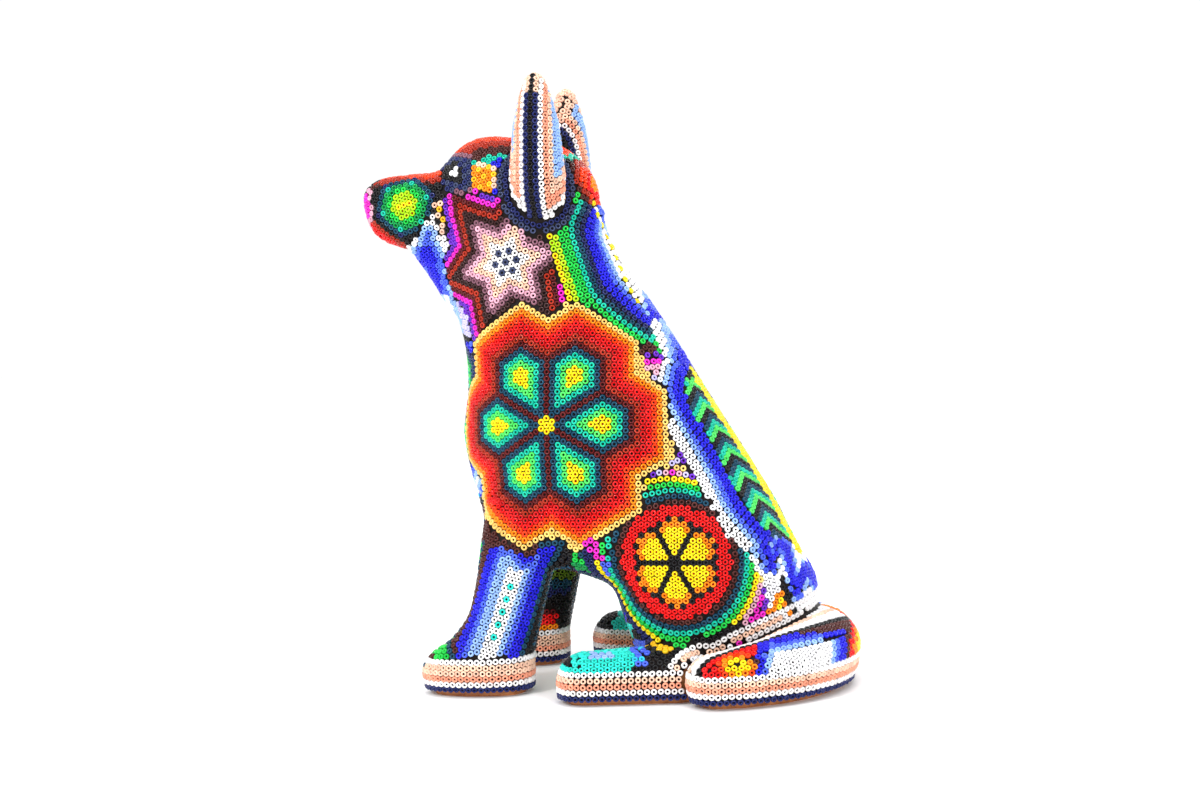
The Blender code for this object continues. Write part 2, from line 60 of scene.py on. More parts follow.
# ---------------------------------------------------------------- camera and light

AZ, EL, ROLL = radians(103), radians(2.6), radians(2.5)
TARGET, DIST = np.array([0.0, 0.0, 92.0]), 550.0


def camera_axes():
    r0 = np.array([cos(AZ), sin(AZ), 0.0])
    v = np.array([sin(AZ) * cos(EL), -cos(AZ) * cos(EL), sin(EL)])
    u0 = np.array([-sin(AZ) * sin(EL), cos(AZ) * sin(EL), cos(EL)])
    return r0 * cos(ROLL) - u0 * sin(ROLL), u0 * cos(ROLL) + r0 * sin(ROLL), v


# ---- shape


def smin(a, b, k):
    h = np.clip(0.5 + 0.5 * (b - a) / k, 0.0, 1.0)
    return b + (a - b) * h - k * h * (1.0 - h)


def ellipsoid(P, c, r):
    x, y, z = P[..., 0] - c[0], P[..., 1] - c[1], P[..., 2] - c[2]
    k0 = np.sqrt((x / r[0]) ** 2 + (y / r[1]) ** 2 + (z / r[2]) ** 2)
    k1 = np.sqrt((x / r[0] ** 2) ** 2 + (y / r[1] ** 2) ** 2 + (z / r[2] ** 2) ** 2)
    return k0 * (k0 - 1.0) / np.maximum(k1, 1e-6)


def cone(P, a, b, ra, rb):
    a, b = np.array(a, float), np.array(b, float)
    ab = b - a
    q = P - a
    t = np.clip((q @ ab) / (ab @ ab), 0.0, 1.0)
    return np.linalg.norm(q - t[..., None] * ab, axis=-1) - (ra + (rb - ra) * t)


def smooth_rows(rows, count):
    rows = np.array(rows, float)
    s = rows[:, 0]
    slope = np.gradient(rows, s, axis=0)
    at = np.linspace(s[0], s[-1], count)
    i = np.clip(np.searchsorted(s, at, side="right") - 1, 0, len(s) - 2)
    h = (s[i + 1] - s[i])[:, None]
    t = ((at - s[i]) / (s[i + 1] - s[i]))[:, None]
    out = (
        (2 * t**3 - 3 * t**2 + 1) * rows[i]
        + (t**3 - 2 * t**2 + t) * h * slope[i]
        + (3 * t**2 - 2 * t**3) * rows[i + 1]
        + (t**3 - t**2) * h * slope[i + 1]
    )
    out[:, 0] = at
    return out


def column(P, rows, power):
    z = P[..., 2]
    zc = np.clip(z, rows[0, 0], rows[-1, 0])
    front = np.interp(zc, rows[:, 0], rows[:, 1])
    back = np.interp(zc, rows[:, 0], rows[:, 2])
    w = np.interp(zc, rows[:, 0], rows[:, 3])
    b = (back - front) / 2
    u = np.abs(P[..., 0]) / w
    v = np.abs(P[..., 1] - (front + back) / 2) / b
    k0 = (u**power + v**power + 1e-12) ** (1 / power)
    g = np.sqrt((u ** (power - 1) / w) ** 2 + (v ** (power - 1) / b) ** 2)
    g = g / np.maximum(k0, 1e-6) ** (power - 1)
    d = np.clip((k0 - 1.0) / np.maximum(g, 1e-3), -40, 60)
    return np.maximum(d, np.maximum(z - rows[-1, 0], rows[0, 0] - z))


TORSO = smooth_rows(
    [
        (-6, 11, 62, 26),
        (8, 9, 66, 27.5),
        (20, 7, 68.5, 29),
        (33, 1, 68.5, 30),
        (42, -26, 64, 30.5),
        (50, -38, 60, 31),
        (60, -41.5, 55.3, 31),
        (70, -44, 49.7, 31),
        (83, -45.8, 42, 30.5),
        (97, -43.8, 33.8, 28.5),
        (111, -44.2, 26, 25.5),
        (125, -47.4, 17.5, 22),
        (140, -50, 8.5, 19.5),
        (152, -48, 2, 18),
    ],
    120,
)
LEG = smooth_rows(
    [
        (-8, -55, -21, 9),
        (0, -56, -20.5, 10.5),
        (5, -57.3, -20, 11.8),
        (9, -57, -20, 12),
        (13, -54, -19.6, 11.4),
        (17, -48, -18.8, 10.6),
        (23, -42.5, -17.2, 9.8),
        (33, -38.8, -14.5, 9.6),
        (42, -37.2, -12, 9.8),
        (52, -36, -9, 8.8),
        (60, -33, -12, 6),
    ],
    90,
)
TAIL = smooth_rows(
    [
        (0, 40.1, 42.4, 8.0, 7.9),
        (1, 36.6, 50.4, 8.8, 8.6),
        (2, 29.9, 59.6, 10.0, 9.3),
        (3, 19.6, 66.6, 11.5, 10.1),
        (4, 8.0, 69.0, 12.5, 10.7),
        (5, -5.5, 66.0, 12.5, 11.0),
    ],
    19,
)
TAIL_WIDE = 1.3


def mirror(P):
    Q = P.copy()
    Q[..., 0] = np.abs(Q[..., 0])
    return Q


def settle(P, z0, k):
    Q = P.copy()
    Q[..., 2] = np.where(P[..., 2] < z0, z0 + (P[..., 2] - z0) * k, P[..., 2])
    return Q


def ear(P):
    """One upright ear, with x counted outwards."""
    z = P[..., 2]
    zz = [149, 152, 157, 165, 181, 190, 195.5, 198]
    a = np.interp(z, zz, [3.0, 6.4, 8.4, 9.0, 7.8, 5.8, 3.4, 0.8])
    b = np.interp(z, zz, [3.0, 6.6, 8.8, 9.4, 7.6, 5.4, 3.2, 0.8])
    yc = np.interp(z, [149, 160, 198], [-13.8, -13.2, -12.0])
    xc = np.interp(z, [149, 160, 198], [14.5, 18.2, 20.5])
    p = 1.65
    u = np.abs(P[..., 0] - xc) / a
    v = np.abs(P[..., 1] - yc) / b
    k0 = (u**p + v**p + 1e-9) ** (1 / p)
    d = (k0 - 1) * np.minimum(a, b) * 0.85
    return np.maximum(d, np.maximum(z - 197.5, 149 - z))


def tail(P):
    d = None
    flat = np.array([1 / TAIL_WIDE, 1 / TAIL_WIDE, 1.0])
    for a, b in zip(TAIL, TAIL[1:]):
        q = settle(P, (a[3] + b[3]) / 2, 0.55) * flat
        q = cone(q, a[1:4] * flat, b[1:4] * flat, a[4], b[4])
        d = q if d is None else np.minimum(d, q)
    return d


def snout(P):
    y, z = P[..., 1] + 60, P[..., 2] - 157.4
    y = y + 0.22 * z
    wide = 11.4 * np.interp(P[..., 1], [-80, -45], [0.92, 1.08])
    p = 2.7
    k0 = (np.abs(P[..., 0]) / wide) ** p + (np.abs(y) / 17.6) ** p
    k0 = (k0 + (np.abs(z) / 12.3) ** p + 1e-9) ** (1 / p)
    return (k0 - 1) * 11.5


def head(P):
    d = ellipsoid(P, (0, -22, 157.5), (20, 24.5, 21.5))
    d = smin(d, ellipsoid(P, (0, -33.5, 164.5), (14.5, 17, 16.2)), 4)
    d = smin(d, cone(P, (0, -38, 157.5), (0, -58, 157.5), 14.5, 11.6), 5)
    d = smin(d, cone(P, (0, -57, 151.5), (0, -45, 134), 8.6, 9.0), 5)
    return smin(d, snout(P), 2.5)


def legs(P):
    Q = mirror(P)
    z = Q[..., 2]
    Q[..., 0] = Q[..., 0] - np.interp(z, [0, 20, 42, 60], [23.5, 23.5, 21.5, 17])
    return column(Q, LEG, 2.3)


def hinds(P):
    Q = mirror(P)
    haunch = ellipsoid(Q, (15, 32.5, 38), (20.5, 26.3, 31.5))
    R = settle(Q, 6.0, 0.55)
    R[..., 1] = R[..., 1] + np.where(P[..., 0] > 0, 0.0, 5.0)
    return smin(haunch, cone(R, (36.0, 0.3, 5.8), (31, 28, 6.5), 9.8, 10.5), 5)


def body(P):
    d = smin(column(P, TORSO, 2.2), hinds(P), 6)
    d = smin(d, legs(P), 7)
    return smin(d, head(P), 7)


# ---- beads

PITCH = 2.1
ROW = 1.84
KITE = np.array([[1, -1, -1], [-1, -1, 1], [-1, 1, -1], [1, 1, 1]], float)
CAM_R, CAM_U, CAM_V = camera_axes()
FOCAL = 1666.667


def board(P):
    """The side view as a drawing board: across and down, about a third of a millimetre to the unit."""
    Q = P - TARGET
    d = DIST - Q @ CAM_V
    return np.stack([600 + FOCAL * (Q @ CAM_R) / d, 400 - FOCAL * (Q @ CAM_U) / d], -1)


def slope(f, P, h=0.04):
    v = f((P[:, None, :] + h * KITE).reshape(-1, 3)).reshape(-1, 4)
    return v @ KITE / (4 * h), v.mean(1)


def unit(a):
    return a / np.maximum(np.linalg.norm(a, axis=-1), 1e-9)[..., None]


def project(f, P, times=4):
    P = np.array(P, float).reshape(-1, 3)
    for _ in range(times):
        g, v = slope(f, P)
        s = np.clip(v / np.maximum((g * g).sum(1), 0.04), -3, 3)
        P = P - s[:, None] * g
    return P, unit(slope(f, P)[0])


def ear_r(P):
    return ear(P * np.array([-1.0, 1.0, 1.0]))


def free_body(P):
    return np.minimum(ear(mirror(P)), tail(P))


class Field:
    """All the beads that have been set so far, with a grid to find neighbours in."""

    def __init__(self):
        self.p, self.n, self.c, self.f = [], [], [], []
        self.cells = {}

    def clear(self, q, r):
        cx, cy, cz = (int(c // 2.2) for c in q)
        r2 = r * r
        for i in (cx - 1, cx, cx + 1):
            for j in (cy - 1, cy, cy + 1):
                for k in (cz - 1, cz, cz + 1):
                    for m in self.cells.get((i, j, k), ()):
                        p = self.p[m]
                        a, b, c = p[0] - q[0], p[1] - q[1], p[2] - q[2]
                        if a * a + b * b + c * c < r2:
                            return False
        return True

    def near(self, q, r):
        cx, cy, cz = (int(c // 2.2) for c in q)
        w = int(r // 2.2) + 1
        found = []
        for i in range(cx - w, cx + w + 1):
            for j in range(cy - w, cy + w + 1):
                for k in range(cz - w, cz + w + 1):
                    for m in self.cells.get((i, j, k), ()):
                        p = self.p[m]
                        d = (p[0] - q[0]) ** 2 + (p[1] - q[1]) ** 2 + (p[2] - q[2]) ** 2
                        if d < r * r:
                            found.append((d, m))
        return found

    def add(self, q, n, c, f):
        q = tuple(float(x) for x in q)
        key = tuple(int(x // 2.2) for x in q)
        self.cells.setdefault(key, []).append(len(self.p))
        self.p.append(q)
        self.n.append(tuple(float(x) for x in n))
        self.c.append(c)
        self.f.append(f)


SURF = {"body": body, "tail": tail, "ear": ear, "ear_r": ear_r}
NEAR = 0.86


def allowed(kind, P):
    """Beads stay on the shown part of each surface and above the bare soles."""
    if kind == "body":
        return (free_body(P) > 0.9) & (P[:, 2] > 2.4)
    if kind == "tail":
        return (body(P) > 0.9) & (P[:, 2] > 2.4)
    return body(P) > 0.95


def centred(P):
    """Beads close to the middle plane stand on it or keep half a pitch away."""
    x = P[:, 0]
    return np.where(np.abs(x) < 0.72, 0.0, np.where((x > 0) & (x < 1.04), 1.04, x))


def twins(field, start):
    """Sets the mirror image of every bead since `start` on the right side."""
    left = [m for m in range(start, len(field.p)) if field.p[m][0] > 0.9]
    if not left:
        return
    kind = [field.f[m] for m in left]
    for k in sorted(set(kind)):
        ids = [m for m, kk in zip(left, kind) if kk == k]
        other = "ear_r" if k == "ear" else k
        Q = np.array([field.p[m] for m in ids]) * np.array([-1.0, 1.0, 1.0])
        Q, N = project(SURF[other], Q)
        ok = allowed(other, Q)
        for q, n, m, good in zip(Q, N, ids, ok):
            if good and field.clear(q, PITCH * NEAR):
                field.add(q, n, field.c[m], other)


STEPS = [(1, 0), (0, 1), (-1, 1), (-1, 0), (0, -1), (1, -1)]


def grow(field, kind, seeds, keep, paint, twin=True, pitch=PITCH, most=80):
    """Sets beads in a hexagonal lattice outwards from seeds: (point, direction, (a, b))."""
    f = SURF[kind]
    start = len(field.p)
    placed, seen = {}, set()
    P, N = project(f, [s[0] for s in seeds])
    keys = [s[2] for s in seeds]
    E = np.array([s[1] for s in seeds], float)
    for _ in range(most):
        E = unit(E - (E * N).sum(1)[:, None] * N)
        if kind == "body" and twin:
            P[:, 0] = centred(P)
        K = np.array(keys)
        ok = allowed(kind, P) & keep(P, K)
        if twin:
            ok &= P[:, 0] > -0.1
        colours = paint(P, K)
        front = []
        for i, key in enumerate(keys):
            seen.add(key)
            if ok[i] and field.clear(P[i], pitch * NEAR):
                field.add(P[i], N[i], colours[i], kind)
                placed[key] = (P[i], N[i], E[i])
                front.append(key)
        prop = {}
        for key in front:
            p, n, e = placed[key]
            w = np.cross(n, e)
            for m, (da, db) in enumerate(STEPS):
                k = (key[0] + da, key[1] + db)
                if k not in seen:
                    d = e * cos(m * pi / 3) + w * sin(m * pi / 3)
                    prop.setdefault(k, []).append((p + pitch * d, e))
        if not prop:
            break
        keys = sorted(prop)
        P = np.array([np.mean([q[0] for q in prop[k]], axis=0) for k in keys])
        E = np.array([np.mean([q[1] for q in prop[k]], axis=0) for k in keys])
        P, N = project(f, P)
    if twin:
        twins(field, start)


def resample(C, step):
    d = np.r_[0, np.cumsum(np.linalg.norm(np.diff(C, axis=0), axis=1))]
    n = max(int(round(d[-1] / step)), 1)
    at = np.linspace(0, d[-1], n + 1)
    return np.stack([np.interp(at, d, C[:, k]) for k in range(3)], 1)


def smooth_line(C, rounds=1):
    C = C.copy()
    for _ in range(rounds):
        C[1:-1] = (C[:-2] + 2 * C[1:-1] + C[2:]) / 4
    return C


def lift(points, f=None, gap=3.0):
    """Points of the drawing board, brought onto the figure along the view."""
    f = f or (lambda P: np.minimum(body(P), tail(P)))
    Q = resample(np.array([(p[0], p[1], 0.0) for p in points], float), gap)[:, :2] if len(points) > 1 else np.array(points, float)
    d = -CAM_V + (Q[:, :1] - 600) / FOCAL * CAM_R + (400 - Q[:, 1:]) / FOCAL * CAM_U
    d = unit(d)
    o = TARGET + DIST * CAM_V
    t = np.full(len(Q), DIST - 110.0)
    for _ in range(160):
        v = f(o + t[:, None] * d)
        t = t + np.where(v > 0.01, np.maximum(0.55 * v, 0.01), 0.0)
    P = o + t[:, None] * d
    return P[t < DIST + 100]


def closed_line(C):
    return np.linalg.norm(C[0] - C[-1]) < 1.6


def smooth_loop(C, rounds=1):
    for _ in range(rounds):
        C = (np.roll(C, 1, axis=0) + 2 * C + np.roll(C, -1, axis=0)) / 4
    return C


def rows(field, kind, line, side, colours, keep, twin=True, step=ROW, dense=False, phase=0.0, pitch=PITCH, loop=False):
    """Sets rows of beads beside each other, starting on `line`. colours(k, s, P) or a list, one to a row."""
    f = SURF[kind]
    start = len(field.p)
    C = resample(np.array(line, float), 0.6)
    if not dense:
        C = smooth_line(C, 30)
    C, N = project(f, C)
    total = len(colours) if isinstance(colours, list) else colours.rows
    last = None
    for k in range(total):
        C = resample(C, 0.6)
        C, N = project(f, C)
        d = np.r_[0, np.cumsum(np.linalg.norm(np.diff(C, axis=0), axis=1))]
        first = phase
        if last is not None and len(last) > 1:
            m = len(last) // 2
            first = d[np.argmin(np.linalg.norm(C - (last[m - 1] + last[m]) / 2, axis=1))]
        at = np.arange(first % pitch, d[-1], pitch)
        if closed_line(C):
            whole = d[-1] + np.linalg.norm(C[0] - C[-1])
            at = np.sort((first + np.arange(round(whole / pitch)) * whole / round(whole / pitch)) % whole)
            at = at[at < d[-1] + 0.3]
        if len(at):
            P = np.stack([np.interp(at, d, C[:, j]) for j in range(3)], 1)
            P, NP = project(f, P, 2)
            last = P.copy()
            if kind == "body" and twin:
                P[:, 0] = centred(P)
            ok = allowed(kind, P) & keep(P)
            if twin:
                ok &= P[:, 0] > -0.1
            for i in range(len(P)):
                if ok[i] and field.clear(P[i], pitch * NEAR):
                    c = colours[k] if isinstance(colours, list) else colours(k, P[i])
                    field.add(P[i], NP[i], c, kind)
        if loop:
            C, N = C[:-1], N[:-1]
            T = unit(np.roll(C, -1, axis=0) - np.roll(C, 1, axis=0))
            C = smooth_loop(C + side * step * unit(np.cross(N, T)), 6)
            C = np.vstack([C, C[:1]])
        else:
            T = unit(np.gradient(C, axis=0))
            C = smooth_line(C + side * step * unit(np.cross(N, T)), 4)
        C, N = project(f, C)
    if twin:
        twins(field, start)


def trace(kind, g, level, at, sense, steps, h=0.5, stop=None):
    """Follows the line on a surface where g = level, both ways from a point."""
    f = SURF[kind]

    def run(sign):
        p = np.array([at], float)
        out = []
        for i in range(steps):
            for _ in range(3 if i else 12):
                a, va = slope(f, p)
                b, vb = slope(g, p)
                A = np.stack([a[0], b[0]])
                r = np.array([va[0], vb[0] - level])
                dp = A.T @ np.linalg.solve(A @ A.T + 1e-6 * np.eye(2), r)
                p = p - np.clip(dp, -2, 2)
            if stop is not None and i and stop(p)[0]:
                break
            if i > 8 and np.linalg.norm(p[0] - out[0]) < h * 0.8:
                break
            out.append(p[0].copy())
            t = np.cross(a[0], b[0]) * sign
            p = p + h * t / max(np.linalg.norm(t), 1e-9)
        return out

    one = run(sense)
    if len(one) == steps or (stop is None and len(one) > 20):
        return np.array(one)
    other = run(-sense)
    return np.array(other[::-1][:-1] + one)


def always(P, K=None):
    return np.ones(len(P), bool)


def polygon(points):
    c = np.array(points, float)

    def inside(Q):
        hit = np.zeros(len(Q), bool)
        for a, b in zip(c, np.roll(c, -1, axis=0)):
            over = (a[1] > Q[:, 1]) != (b[1] > Q[:, 1])
            x = a[0] + (Q[:, 1] - a[1]) * (b[0] - a[0]) / ((b[1] - a[1]) or 1e-9)
            hit ^= over & (Q[:, 0] < x)
        return hit

    return inside


def along(points, Q):
    """Distance from each point of Q to a polyline, which side it is on, and how far along it is."""
    c = np.array(points, float)
    best = np.full(len(Q), 1e9)
    side = np.ones(len(Q))
    s = np.zeros(len(Q))
    run = 0.0
    for a, b in zip(c, c[1:]):
        e = b - a
        t = np.clip(((Q - a) @ e) / (e @ e), 0, 1)
        d = np.linalg.norm(Q - a - t[:, None] * e, axis=1)
        hit = d < best
        best = np.where(hit, d, best)
        z = e[0] * (Q[:, 1] - a[1]) - e[1] * (Q[:, 0] - a[0])
        side = np.where(hit, np.sign(z), side)
        s = np.where(hit, run + t * np.linalg.norm(e), s)
        run += np.linalg.norm(e)
    return best, side, s


def lattice(K):
    """Hexagonal norms of lattice places: largest and second largest."""
    a, b = K[:, 0], K[:, 1]
    m = np.sort(np.abs(np.stack([a, b, a + b])), axis=0)
    return m[2], m[1]


def radius(K):
    a, b = K[:, 0], K[:, 1]
    return np.sqrt(a * a + b * b + a * b)


def pick(names, level):
    level = np.clip(np.asarray(level).astype(int), 0, len(names) - 1)
    return [names[i] for i in level]


# ---- motifs


def paint_flower(P, K):
    r1, r2 = lattice(K)
    d, m = r1 - r2, np.maximum(r1 - 5, r2)
    out = []
    for i in range(len(K)):
        if r1[i] <= 1:
            out.append("yellow")
        elif m[i] <= 10:
            out.append(["maroon", "darkteal", "turquoise", "lightgreen", "yellow"][min(d[i], 10 - m[i], 4)])
        else:
            out.append(["brick", "reddark", "red", "redorange", "orange", "cream"][min(m[i] - 11, 5)])
    return out


def keep_flower(P, K):
    r1, r2 = lattice(K)
    return np.maximum(r1 - 5, r2) <= 16


STAR = ["white", "white", "white", "peach", "pink", "mauve", "darkbrown", "brick", "maroon", "magenta", "purple"]


def paint_star(P, K):
    r1, r2 = lattice(K)
    r = radius(K)
    out = pick(STAR, r2)
    for i in range(len(K)):
        if r[i] < 0.1 or abs(r[i] - 3**0.5) < 0.01:
            out[i] = "slate"
        elif r1[i] > 9:
            out[i] = "darkbrown" if r2[i] < 7 else out[i]
    return out


NECK_LINE = [(566, 140), (567, 160), (566, 178), (561.7, 190.6), (551, 210), (545.5, 229), (548, 241), (555, 262), (562.4, 284), (569, 305), (585, 319), (612, 339), (650, 362), (668, 372)]


def neck_side(Q):
    d, side, s = along(NECK_LINE, Q)
    return -d * side  # grows towards the back


FACE_LINE = [(440, 196), (447, 245), (439, 262), (449, 290), (462, 320), (473, 352)]


def keep_star(P, K):
    r1, r2 = lattice(K)
    Q = board(P)
    d, side, s = along(FACE_LINE, Q)
    return (r2 <= 10) & (neck_side(Q) < -2.0) & (P[:, 0] > 3) & (d * side < -3) & (Q[:, 1] > 196 - 0.0 * Q[:, 0]) & (Q[:, 1] < 352)


def paint_wheel(P, K):
    r1, r2 = lattice(K)
    out = []
    for m, n in zip(r1, r2):
        d = m - n
        if m <= 1 or (d == 0 and m <= 6) or (m == 7 and d == 1) or (m == 8 and d == 3):
            out.append("black")
        elif d == 0 or m > 8 or (m == 8 and d != 4):
            out.append("red")
        else:
            out.append("orange" if m > 6 or (m == 6 and d == 1) else "yellow")
    return out


def paint_snout(P, K):
    """Rings of the muzzle's disc, and the rows between it and the edges."""
    r = radius(K)
    Q = board(P)
    out = []
    for i in range(len(K)):
        u, v = Q[i]
        if r[i] <= 2.05:
            out.append("yellow" if r[i] < 1.1 and (K[i, 0] + K[i, 1]) % 2 == 0 else "lime")
        elif r[i] <= 2.7:
            out.append("green")
        elif r[i] <= 4.05:
            out.append("emerald" if r[i] < 3.7 else "turquoise")
        elif r[i] <= 5.1:
            out.append("darkteal" if r[i] < 4.7 else "navy")
        else:
            out.append(colour_snout(u, v, P[i, 0]))
    return out


def colour_snout(u, v, x):
    if GOLD(np.array([[u, v]]))[0]:
        d, _s, _t = along(GOLD_EDGE, np.array([[u, v]]))
        return "peach" if d[0] < 3.6 else "gold"
    if x < 5.2 and v < 203 and u < 380:
        return "black"
    if u < 371 and v > 180 and x < 10:
        return "magenta" if u < 368 else "pink"
    top = np.interp(u, [366, 380, 400, 430, 442], [180, 176, 173, 174, 172])
    low = np.interp(u, [370, 384, 400, 412], [226, 240, 250, 257])
    d = min(v - top, low - v)
    if v > 236 and u > 398 and low - v < 3:
        return "black"
    if d < 3.4:
        return "redorange" if v < 200 else "red"
    if d < 7.4:
        return "brick"
    return "brown" if d < 10 else "black"


SNOUT = polygon([(345, 140), (400, 150), (438, 160), (440, 194), (446, 197), (446.5, 232), (443, 238), (436, 220), (431, 210), (420, 228), (410, 243), (399, 264), (345, 264)])
GOLD_EDGE = [(431, 201), (440, 201), (447, 209), (447, 227), (442, 234), (435, 214), (431, 201)]
GOLD = polygon(GOLD_EDGE)
EYE = polygon([(441, 161), (458, 156), (470, 158), (471, 176), (468, 188), (455, 191), (438, 190), (438, 172)])
CHEEK_EDGE = [(472, 162), (489, 161), (498, 170), (497, 182), (489, 191), (472, 186), (472, 162)]
CHEEK = polygon(CHEEK_EDGE)
VIOLET_LINE = [(472, 187), (484, 191), (497, 197)]
PINK_LINE = [(472, 193), (484, 198), (497, 204), (502, 200)]


def near_line(line, u, v):
    return along(line, np.array([[u, v]]))[0][0]


def paint_head(P, K):
    Q = board(P)
    inside, hexed = EYE(Q), CHEEK(Q)
    edge = along(CHEEK_EDGE, Q)[0]
    violet, rose = along(VIOLET_LINE, Q)[0], along(PINK_LINE, Q)[0]
    out = []
    for i in range(len(K)):
        u, v = Q[i]
        if abs(u - 452.3) < 4.9 and abs(v - 172.6) < 5.2:
            out.append("white")
        elif inside[i]:
            out.append("black" if (u - 453) ** 2 + (v - 173) ** 2 < 120 else "slate" if (K[i, 0] + K[i, 1]) % 2 else "navy")
        elif hexed[i]:
            right = u > 489 or v < 166
            out.append("peach" if right and edge[i] < 4.2 else "orange" if (K[i, 0] * 2 + K[i, 1]) % 3 else "gold")
        elif rose[i] < 2.9:
            out.append("magenta" if K[i, 0] % 2 else "pink")
        elif violet[i] < 3.2:
            out.append("purple")
        elif v > 187 and u < 474:
            out.append("mauve" if v < 195 else "maroon")
        elif u < 473 and v > 152 and u > 440:
            out.append("mauve")
        elif u > 492 and v > 158 and v < 198:
            out.append("royal" if u < 499 else "black")
        elif v > 190:
            out.append("maroon")
        else:
            out.append(colour_crown(u, v, P[i, 0]))
    return out


def colour_crown(u, v, x):
    top = np.interp(u, [440, 455, 470, 480, 495, 510], [166, 152, 143, 139, 136, 135])
    t = (v - top) / 4.6
    if u > 472 and t > 4:
        return "turquoise" if v > 157.5 - (u - 472) * 0.33 else "darkteal"
    if abs(x) < 9.5:
        return "redorange" if abs(x) < 6.5 else "brick"
    return ["brick", "brick", "brown", "brown", "darkbrown", "darkteal", "navy"][int(min(max(t, 0), 6))]


CHEST = ["yellow", "orange", "redorange", "red", "black", "turquoise", "lightgreen", "emerald", "darkteal", "navy", "royal", "midblue", "paleblue", "white", "paleblue", "midblue", "royal"]


def paint_chest(P, K):
    r1, r2 = lattice(K)
    return pick(CHEST, np.maximum(r1 - 3, r2))


def paint_rest(P, N, side):
    """Colours for everything between the motifs, by its place on the drawing board."""
    Q = board(P)
    u, v = Q[:, 0], Q[:, 1]
    x, y, z = P[:, 0], P[:, 1], P[:, 2]
    out = ["black"] * len(P)
    neck = neck_side(Q)
    bl, bside, bs = along(BACK_LINE, Q)
    bd = -bl * bside
    wd = np.linalg.norm(P - np.array(WHEEL), axis=1)
    fd = np.linalg.norm(Q - np.array([548, 425]), axis=1)
    leg_d, leg_side, leg_s = along(LEG_AXIS, Q)
    for i in range(len(P)):
        out[i] = colour_at(u[i], v[i], x[i], y[i], z[i], N[i], neck[i], bd[i], bs[i], wd[i], fd[i], leg_d[i], leg_side[i])
    return out


BACK_LINE = [(650, 322), (655, 339), (659, 356), (655, 372), (650, 388), (656, 402), (666, 424), (678, 444), (690, 464), (702, 486), (710, 508), (720, 522), (736, 540), (752, 556), (761, 572), (768, 588), (774, 602), (777, 620)]
LEG_AXIS = [(521, 548), (516, 566), (510, 587), (502, 612), (494, 636), (488, 660)]
WHEEL = (35.1, 29.2, 42.8)
NECK = ["yellow", "lime", "green", "green", "turquoise", "darkteal", "navy", "royal", "royal", "midblue", "paleblue", "white"]
BACK = ["white", "white", "paleblue", "midblue", "royal", "royal", "navy"]
CHEVRON = -2
TRIANGLE = polygon([(677, 449), (640, 482), (702, 488)])
ZIGZAG = [(764, 540), (773, 566), (780, 542), (787, 546), (798, 594), (806, 566), (814, 578), (821, 590)]
THROAT_BACK = [(431, 209), (448, 252), (456, 285), (466, 322), (474, 352)]
THROAT_FRONT = [(431, 209), (409, 243), (400, 262)]
THROAT = polygon([(430, 211), (447, 252), (455, 285), (465, 322), (473, 352), (473, 376), (440, 376), (395, 264), (409, 244)])
MAGENTA_PATCH = [(582, 542), (590, 543), (598, 556)]
ARCH = [(552, 592), (557, 575), (565, 559), (575, 551), (587, 553), (597, 562), (606, 578), (613, 596), (618, 615)]


def paint_leg(P, K):
    Q = board(P)
    out = []
    for i in range(len(K)):
        u, v = Q[i]
        k = abs(K[i, 1])
        if v > 636 and u < 458 - (v - 636) * 0.2:
            out.append("green" if u < 446 and v > 642 else "darkteal" if u < 452 else "brown")
            continue
        top = np.interp(u, [470, 497, 525, 545, 560], [533, 541, 551, 543, 536])
        lead = (v - top) / 5.6
        if lead < 1:
            out.append("brown" if u < 536 else "darkteal")
            continue
        if k == 0 and K[i, 0] % 2 == 0 and 580 < v < 640:
            out.append("aqua")
            continue
        k = max(k, 6 - lead) if k < 5 else k
        right = K[i, 1] < 0
        if right:
            # The fourth row here is pale blue where the other side has mid blue: painted highlight standing for glints
            # on the leg; the other rows follow the pattern.
            names = ["white", "white", "paleblue", "paleblue", "midblue", "royal", "royal", "brown", "brown", "darkteal", "green"]
        else:
            names = ["white", "white", "paleblue", "midblue", "royal", "royal", "darkteal", "black", "black", "darkteal", "black"]
        out.append(names[int(min(k, 10))])
    return out


def paint_chevrons(P, K):
    Q = board(P)
    zig = along(ZIGZAG, Q)[0]
    out = []
    for i in range(len(K)):
        a, b = K[i]
        u, v = Q[i]
        if v > 543 + (u - 764) * 0.25:
            out.append("royal" if zig[i] < 3.2 else "midblue" if zig[i] < 7 else "paleblue" if zig[i] < 11 else "white")
        elif abs(P[i, 0]) < 4.4:
            out.append("yellow")
        else:
            b = b + CHEVRON
            out.append(["black", "darkteal", "turquoise", "lightgreen"][(a if b >= 0 else a + b) % 4])
    return out


def throat_colour(u, v):
    if v > 335:
        k = near_line([(466, 322), (474, 360), (472, 392)], u, v) / 5.0
        return ["black", "black", "turquoise", "green", "yellow"][int(min(k, 4))]
    k = min(near_line(THROAT_BACK, u, v), near_line(THROAT_FRONT, u, v)) / 4.9
    if v > 296:
        return ["lavender", "paleblue", "white", "paleblue", "lavender"][int(min(k, 4))]
    return ["white", "paleblue", "midblue", "royal", "royal", "midblue", "cyan", "paleblue"][int(min(k, 7))]


def paint_throat(P, K):
    return [throat_colour(u, v) for u, v in board(P)]


